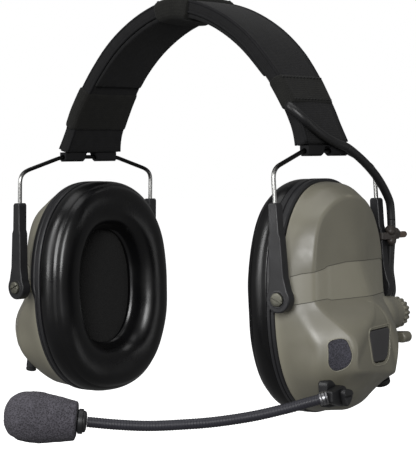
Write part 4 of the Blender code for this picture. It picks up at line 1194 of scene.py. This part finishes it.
# ---------------------------------------------------------------- boom microphone
def make_boom():
    def part(name, bm, look, slot, body="boom", replaces=(), sharp=None, place=cup_to_world):
        return piece(name, bm, look, body, replaces, 1, place, sharp)

    socket = prism([tuple(p) for p in rounded(BOOM_SOCKET, 2.6, 6)], "X", SOCKET_FACE - 4.7, SOCKET_FACE)
    socket = part("boom_socket_moulded", socket, "black", "black_plastic", "cup_left", ("boom_socket",))
    soften(socket, 0.8, 3)

    arm = []
    for i in range(25):
        angle = math.radians(-90 + 180 * i / 24)
        arm.append((BOOM_Y + 4.6 * math.cos(angle), BOOM_Z + 4.6 * math.sin(angle)))
    arm += [(BOOM_Y + a, b) for a, b in ((-7.0, -39.2), (-9.5, -39.4), (-9.5, -44.6), (-7.0, -45.2))]
    elbow = prism(arm, "X", SOCKET_FACE + GAP, SOCKET_FACE + 4.4)
    elbow = part("boom_elbow_moulded", elbow, "black", "black_plastic", replaces=("boom_elbow",))
    soften(elbow, 0.9, 3)

    # A thumb screw with three lobes and a slot.
    lobed = []
    for i in range(48):
        turn = math.tau * i / 48
        r = 3.2 + 1.1 * abs(math.cos(turn * 1.5 - 0.5)) ** 3
        lobed.append((BOOM_Y + r * math.cos(turn), BOOM_Z + r * math.sin(turn)))
    screw = prism(lobed, "X", SOCKET_FACE + 4.75, SOCKET_FACE + 7.2)
    screw = part(
        "boom_thumb_screw_lobed", screw, "black", "screw_metal", "thumb_screw", ("boom_thumb_screw",)
    )
    soften(screw, 0.6, 3)
    corners = [(BOOM_Y + a, BOOM_Z + b) for a, b in ((-6, -0.5), (6, -0.5), (6, 0.5), (-6, 0.5))]
    slot = prism(corners, "X", SOCKET_FACE + 6.7, SOCKET_FACE + 10)
    apply_cut(screw, tool_object("slot", slot))
    screw.data.set_sharp_from_angle(angle=math.radians(35))

    start = cup_to_world((SOCKET_FACE + 2.2, BOOM_Y - 11.8, -42.0))
    drop = (0, -2.0, -4.0, -7.2, -9.4, -10.3, -10.6, -9.8, -8.4)
    reach = (0, 8.0, 15.5, 30.5, 47.0, 61.5, 75.5, 88.8, 101.6)
    forward = Vector((-math.sin(BOOM_HEADING), -math.cos(BOOM_HEADING), 0))
    points = [start + forward * a + Vector((0, 0, b)) for a, b in zip(reach, drop)]
    route = curve_through(points, 60)
    pitch = 1.25

    def ringed(along, _):
        wave = math.cos(math.tau * along / pitch)
        return GOOSENECK_DIAMETER / 2 - 0.14 * (1 - wave) / 2

    hose = tube(even_steps(route, pitch / 6), 0, 20, ringed)
    part(
        "gooseneck_ringed", hose, "hose", "gooseneck_skin", replaces=("boom_gooseneck",), place=band_to_world
    )

    entry = curve_through([cup_to_world((SOCKET_FACE + 2.2, BOOM_Y - 8.5, -42.0)), start, points[1]], 6)
    way = (points[1] - start).normalized()
    ferrule = (
        (2.45, 0), (2.9, 0.1), (3.0, 0.7), (2.7, 1.0), (3.0, 1.3), (3.0, 2.2), (2.7, 2.5), (2.9, 2.8),
        (2.8, 3.4), (2.4, 3.6),
    )
    ferrule = turned(ferrule, entry[5] - way * 0.5, way, 40)
    part("gooseneck_ferrule", ferrule, "ferrule", "screw_metal", place=band_to_world, sharp=40)

    end, way = points[-1], (points[-1] - points[-2]).normalized()
    collar = (
        (0.05, 0), (3.3, 0), (4.3, 0.3), (4.6, 0.8), (4.6, 1.3), (5.3, 1.5), (5.4, 1.9), (5.4, 3.3),
        (5.1, 3.6), (0.05, 3.6),
    )
    collar = turned(collar, end + way * GAP, way, 56)
    part(
        "mic_collar_turned", collar, "black", "black_plastic", replaces=("mic_collar",), place=band_to_world,
        sharp=40,
    )

    profile = (
        (7.5, 0.25), (8.3, 0.75), (8.8, 2.4), (9.9, 8.5), (10.85, 15.0), (10.95, 20.0), (10.2, 24.6),
        (8.3, 28.2), (5.4, 30.5), (2.5, 31.35), (0.15, 31.5),
    )
    profile = curve_through(profile, 6)
    back = [(4.9, 6.0), (4.9, 0.6), (5.4, 0.1), (6.4, 0.0)]
    profile = [Vector(p) for p in back] + profile
    screen = turned([tuple(p) for p in profile], end + way * (3.6 + 2 * GAP), way, 130)
    middle = end + way * 20
    for vert in screen.verts:
        out = (vert.co - middle).normalized()
        if (vert.co - end).dot(way) < 5.5 and (vert.co - end - way * (vert.co - end).dot(way)).length < 6:
            continue
        grains = ((1.9, 0.13), (4.1, 0.10), (0.35, 0.25))
        rough = sum(noise.noise(vert.co * fine) * deep for fine, deep in grains)
        vert.co += out * (rough - 0.1)
    foam = part(
        "windscreen_foam", screen, "foam", "mic_foam", replaces=("mic_windscreen",), place=band_to_world
    )


def even_steps(route, step):
    """The same route with points at even steps along it."""
    result = [route[0]]
    left = step
    for a, b in zip(route, route[1:]):
        span = (b - a).length
        while left <= span:
            result.append(a + (b - a) * (left / span))
            left += step
        left -= span
    return result


# ---------------------------------------------------------------- lead between the cups
def make_lead():
    points = []
    for share, across, lift in LEAD_ON_BAND:
        centre, normal, wide = arch_frame(share)
        points.append(centre + normal * lift + wide * across)
    drop = (
        (0.5, 4.4, 67.1), (1.6, 11.3, 65.2), (2.8, 19.5, 61.0), (3.4, 26.4, 57.0), (3.7, 33.4, 52.4),
        (3.6, 40.0, 47.2), (3.3, 45.0, 42.6), (3.0, 48.3, 38.4), (2.9, 49.4, 31.0), (2.8, 49.5, 23.0),
        (2.0, 49.7, 15.0), (1.4, 50.0, 7.0), (1.9, 50.3, 1.5), (2.2, 50.1, -3.4), (1.0, 48.9, -7.8),
        (-0.7, 47.3, -11.8), (-1.4, 46.0, -15.2), (-1.3, GLAND[1] + 2.2, GLAND[2] + 0.1),
        (GLAND[0], GLAND[1] + GAP, GLAND[2]),
    )
    points += [cup_to_world(point) for point in drop]
    route = curve_through(points, 12)
    marks = (0, 96, 180, 228, len(route) - 1)
    names = ("lead_band", "lead_upper", "lead_lower", "lead_drop")
    bodies = ("headband", "headband", "yoke_left", "slider_left", "cup_left")
    for name, above, below, low, high in zip(names, bodies, bodies[1:], marks, marks[1:]):
        run = route[low : high + 1]
        body = above if above == below else None
        made = piece(name + "_jacket", tube(run, LEAD_DIAMETER / 2, 24), "lead", body, (name,))
        if body is None:
            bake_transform(made)

    outer, inner = rounded(TIE_OUTER, 1.6, 5), rounded(TIE_INNER, 1.3, 5)
    low, high = TIE_Z - TIE_HALF, TIE_Z + TIE_HALF
    lines = ((outer, low), (outer, high), (inner, high), (inner, low))
    rings = [[(p.x, p.y, z) for p in line] for line, z in lines]

    def tied(name, bm, look, width, replaces=()):
        made = piece(name, bm, look, "slider_left", replaces, 1, cup_to_world, 40)
        return soften(made, width, 3)

    tied("tie_strap", loft(rings, closed=True), "tie_dark", 0.5, ("cable_tie",))
    knots = ((4.4, 45.8, 26.0, 2.5), (4.4, 46.6, 21.4, 2.4), (3.4, 51.6, 24.4, 2.9))
    for number, (x, y, z, size) in enumerate(knots):
        knot = bmesh.new()
        bmesh.ops.create_icosphere(knot, subdivisions=3, radius=size)
        for vert in knot.verts:
            vert.co = vert.co * (1 + 0.18 * noise.noise(vert.co * 0.5)) + Vector((x, y, z))
        tied(f"tie_knot_{number + 1}", knot, "tie_dark", 0.05)
    tail = [(52.0, low + 0.3), (63.6, low + 0.15), (65.2, TIE_Z), (63.6, high - 0.15), (52.0, high - 0.3)]
    tied("tie_tail", prism(rounded(tail, 1.3, 5), "X", 1.5, 3.1), "tie", 0.45)


# ---------------------------------------------------------------- carried-over CAD nodes
KEPT = {
    "band_end_left": "textile_edge", "band_end_right": "textile_edge", "band_spring": "steel",
    "band_rivet_left": "steel", "band_rivet_right": "steel", "battery": "steel",
    "circuit_board": "board", "speaker_driver_left": "black", "speaker_driver_right": "black",
    "mic_capsule": "black",
}


def dress_kept():
    for name, look in KEPT.items():
        mesh_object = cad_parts[name]
        mesh_object.data.materials.clear()
        mesh_object.data.materials.append(LOOKS[look])


# ---------------------------------------------------------------- camera, floor and lights
def camera_axes():
    a, e = CAMERA_AZIMUTH, CAMERA_ELEVATION
    back = Vector((math.sin(a) * math.cos(e), -math.cos(a) * math.cos(e), math.sin(e)))
    right = Vector((math.cos(a), math.sin(a), 0))
    up = back.cross(right)
    t = CAMERA_ROLL
    return right * math.cos(t) + up * math.sin(t), up * math.cos(t) - right * math.sin(t), back


def make_camera():
    right, up, back = camera_axes()
    aim = right * CAMERA_AIM[0] + up * CAMERA_AIM[1] + Vector((0, 0, PIVOT_Z))
    data = bpy.data.cameras.new("camera")
    data.sensor_width = SENSOR
    data.lens = CAMERA_LENS
    data.clip_start, data.clip_end = 0.05, 50.0
    camera = bpy.data.objects.new("camera", data)
    matrix = Matrix((right, up, back)).transposed().to_4x4()
    matrix.translation = (aim + back * CAMERA_DISTANCE) * MM
    camera.matrix_world = matrix
    bpy.context.collection.objects.link(camera)
    bpy.context.scene.camera = camera


def area_light(name, place, aim, size, power):
    data = bpy.data.lights.new(name, "AREA")
    data.shape = "RECTANGLE"
    data.size, data.size_y = size
    data.energy = power
    made = bpy.data.objects.new(name, data)
    made.location = place
    made.rotation_mode = "QUATERNION"
    made.rotation_quaternion = (Vector(aim) - Vector(place)).to_track_quat("-Z", "Y")
    bpy.context.collection.objects.link(made)
    return made


def make_studio():
    right, up, back = camera_axes()
    middle = Vector((0, 0, -0.10))
    area_light("key_strip", middle - right * 0.95 + back * 0.45 + up * 0.35, middle, (0.25, 0.9), 7.0)
    area_light("front_box", middle + back * 1.25 - right * 0.12 + up * 0.30, middle, (0.55, 0.45), 14.0)
    area_light("top_box", middle + Vector((0, 0, 1.2)), middle, (1.2, 1.2), 7.0)
    area_light("right_fill", middle + right * 1.1 + back * 0.5, middle, (0.5, 1.2), 2.5)

    floor = bpy.data.meshes.new("floor")
    bm = bmesh.new()
    bmesh.ops.create_circle(bm, cap_ends=True, segments=64, radius=12.0)
    bm.to_mesh(floor)
    bm.free()
    made, tree, node = shader("pale_floor", (0.85, 0.85, 0.85), 0.8)
    node.inputs["Emission Color"].default_value = (1, 1, 1, 1)
    node.inputs["Emission Strength"].default_value = 0.95
    floor.materials.append(made)
    stage = bpy.data.objects.new("floor", floor)
    stage.location = (0, 0, CAD_BOX[0].z - 0.12)
    stage.visible_glossy = False
    stage.visible_diffuse = False
    bpy.context.collection.objects.link(stage)

    world = bpy.data.worlds.new("studio")
    world.use_nodes = True
    tree = world.node_tree
    background = tree.nodes["Background"]
    background.inputs["Color"].default_value = (1, 1, 1, 1)
    path = add_node(tree, "ShaderNodeLightPath")
    strength = add_node(tree, "ShaderNodeMapRange")
    strength.inputs["To Min"].default_value = 0.18
    strength.inputs["To Max"].default_value = 1.0
    tree.links.new(path.outputs["Is Camera Ray"], strength.inputs["Value"])
    tree.links.new(strength.outputs[0], background.inputs["Strength"])
    bpy.context.scene.world = world
    bpy.context.scene.view_settings.view_transform = "Standard"


make_camera()
make_studio()
make_headband()
for cup_side, cup_word in ((1, "left"), (-1, "right")):
    make_yoke(cup_side, cup_word)
    make_cup(cup_side, cup_word)
    make_controls(cup_side, cup_word)
make_left_controls()
make_right_plug()
make_boom()
make_lead()
dress_kept()

bpy.context.view_layer.update()
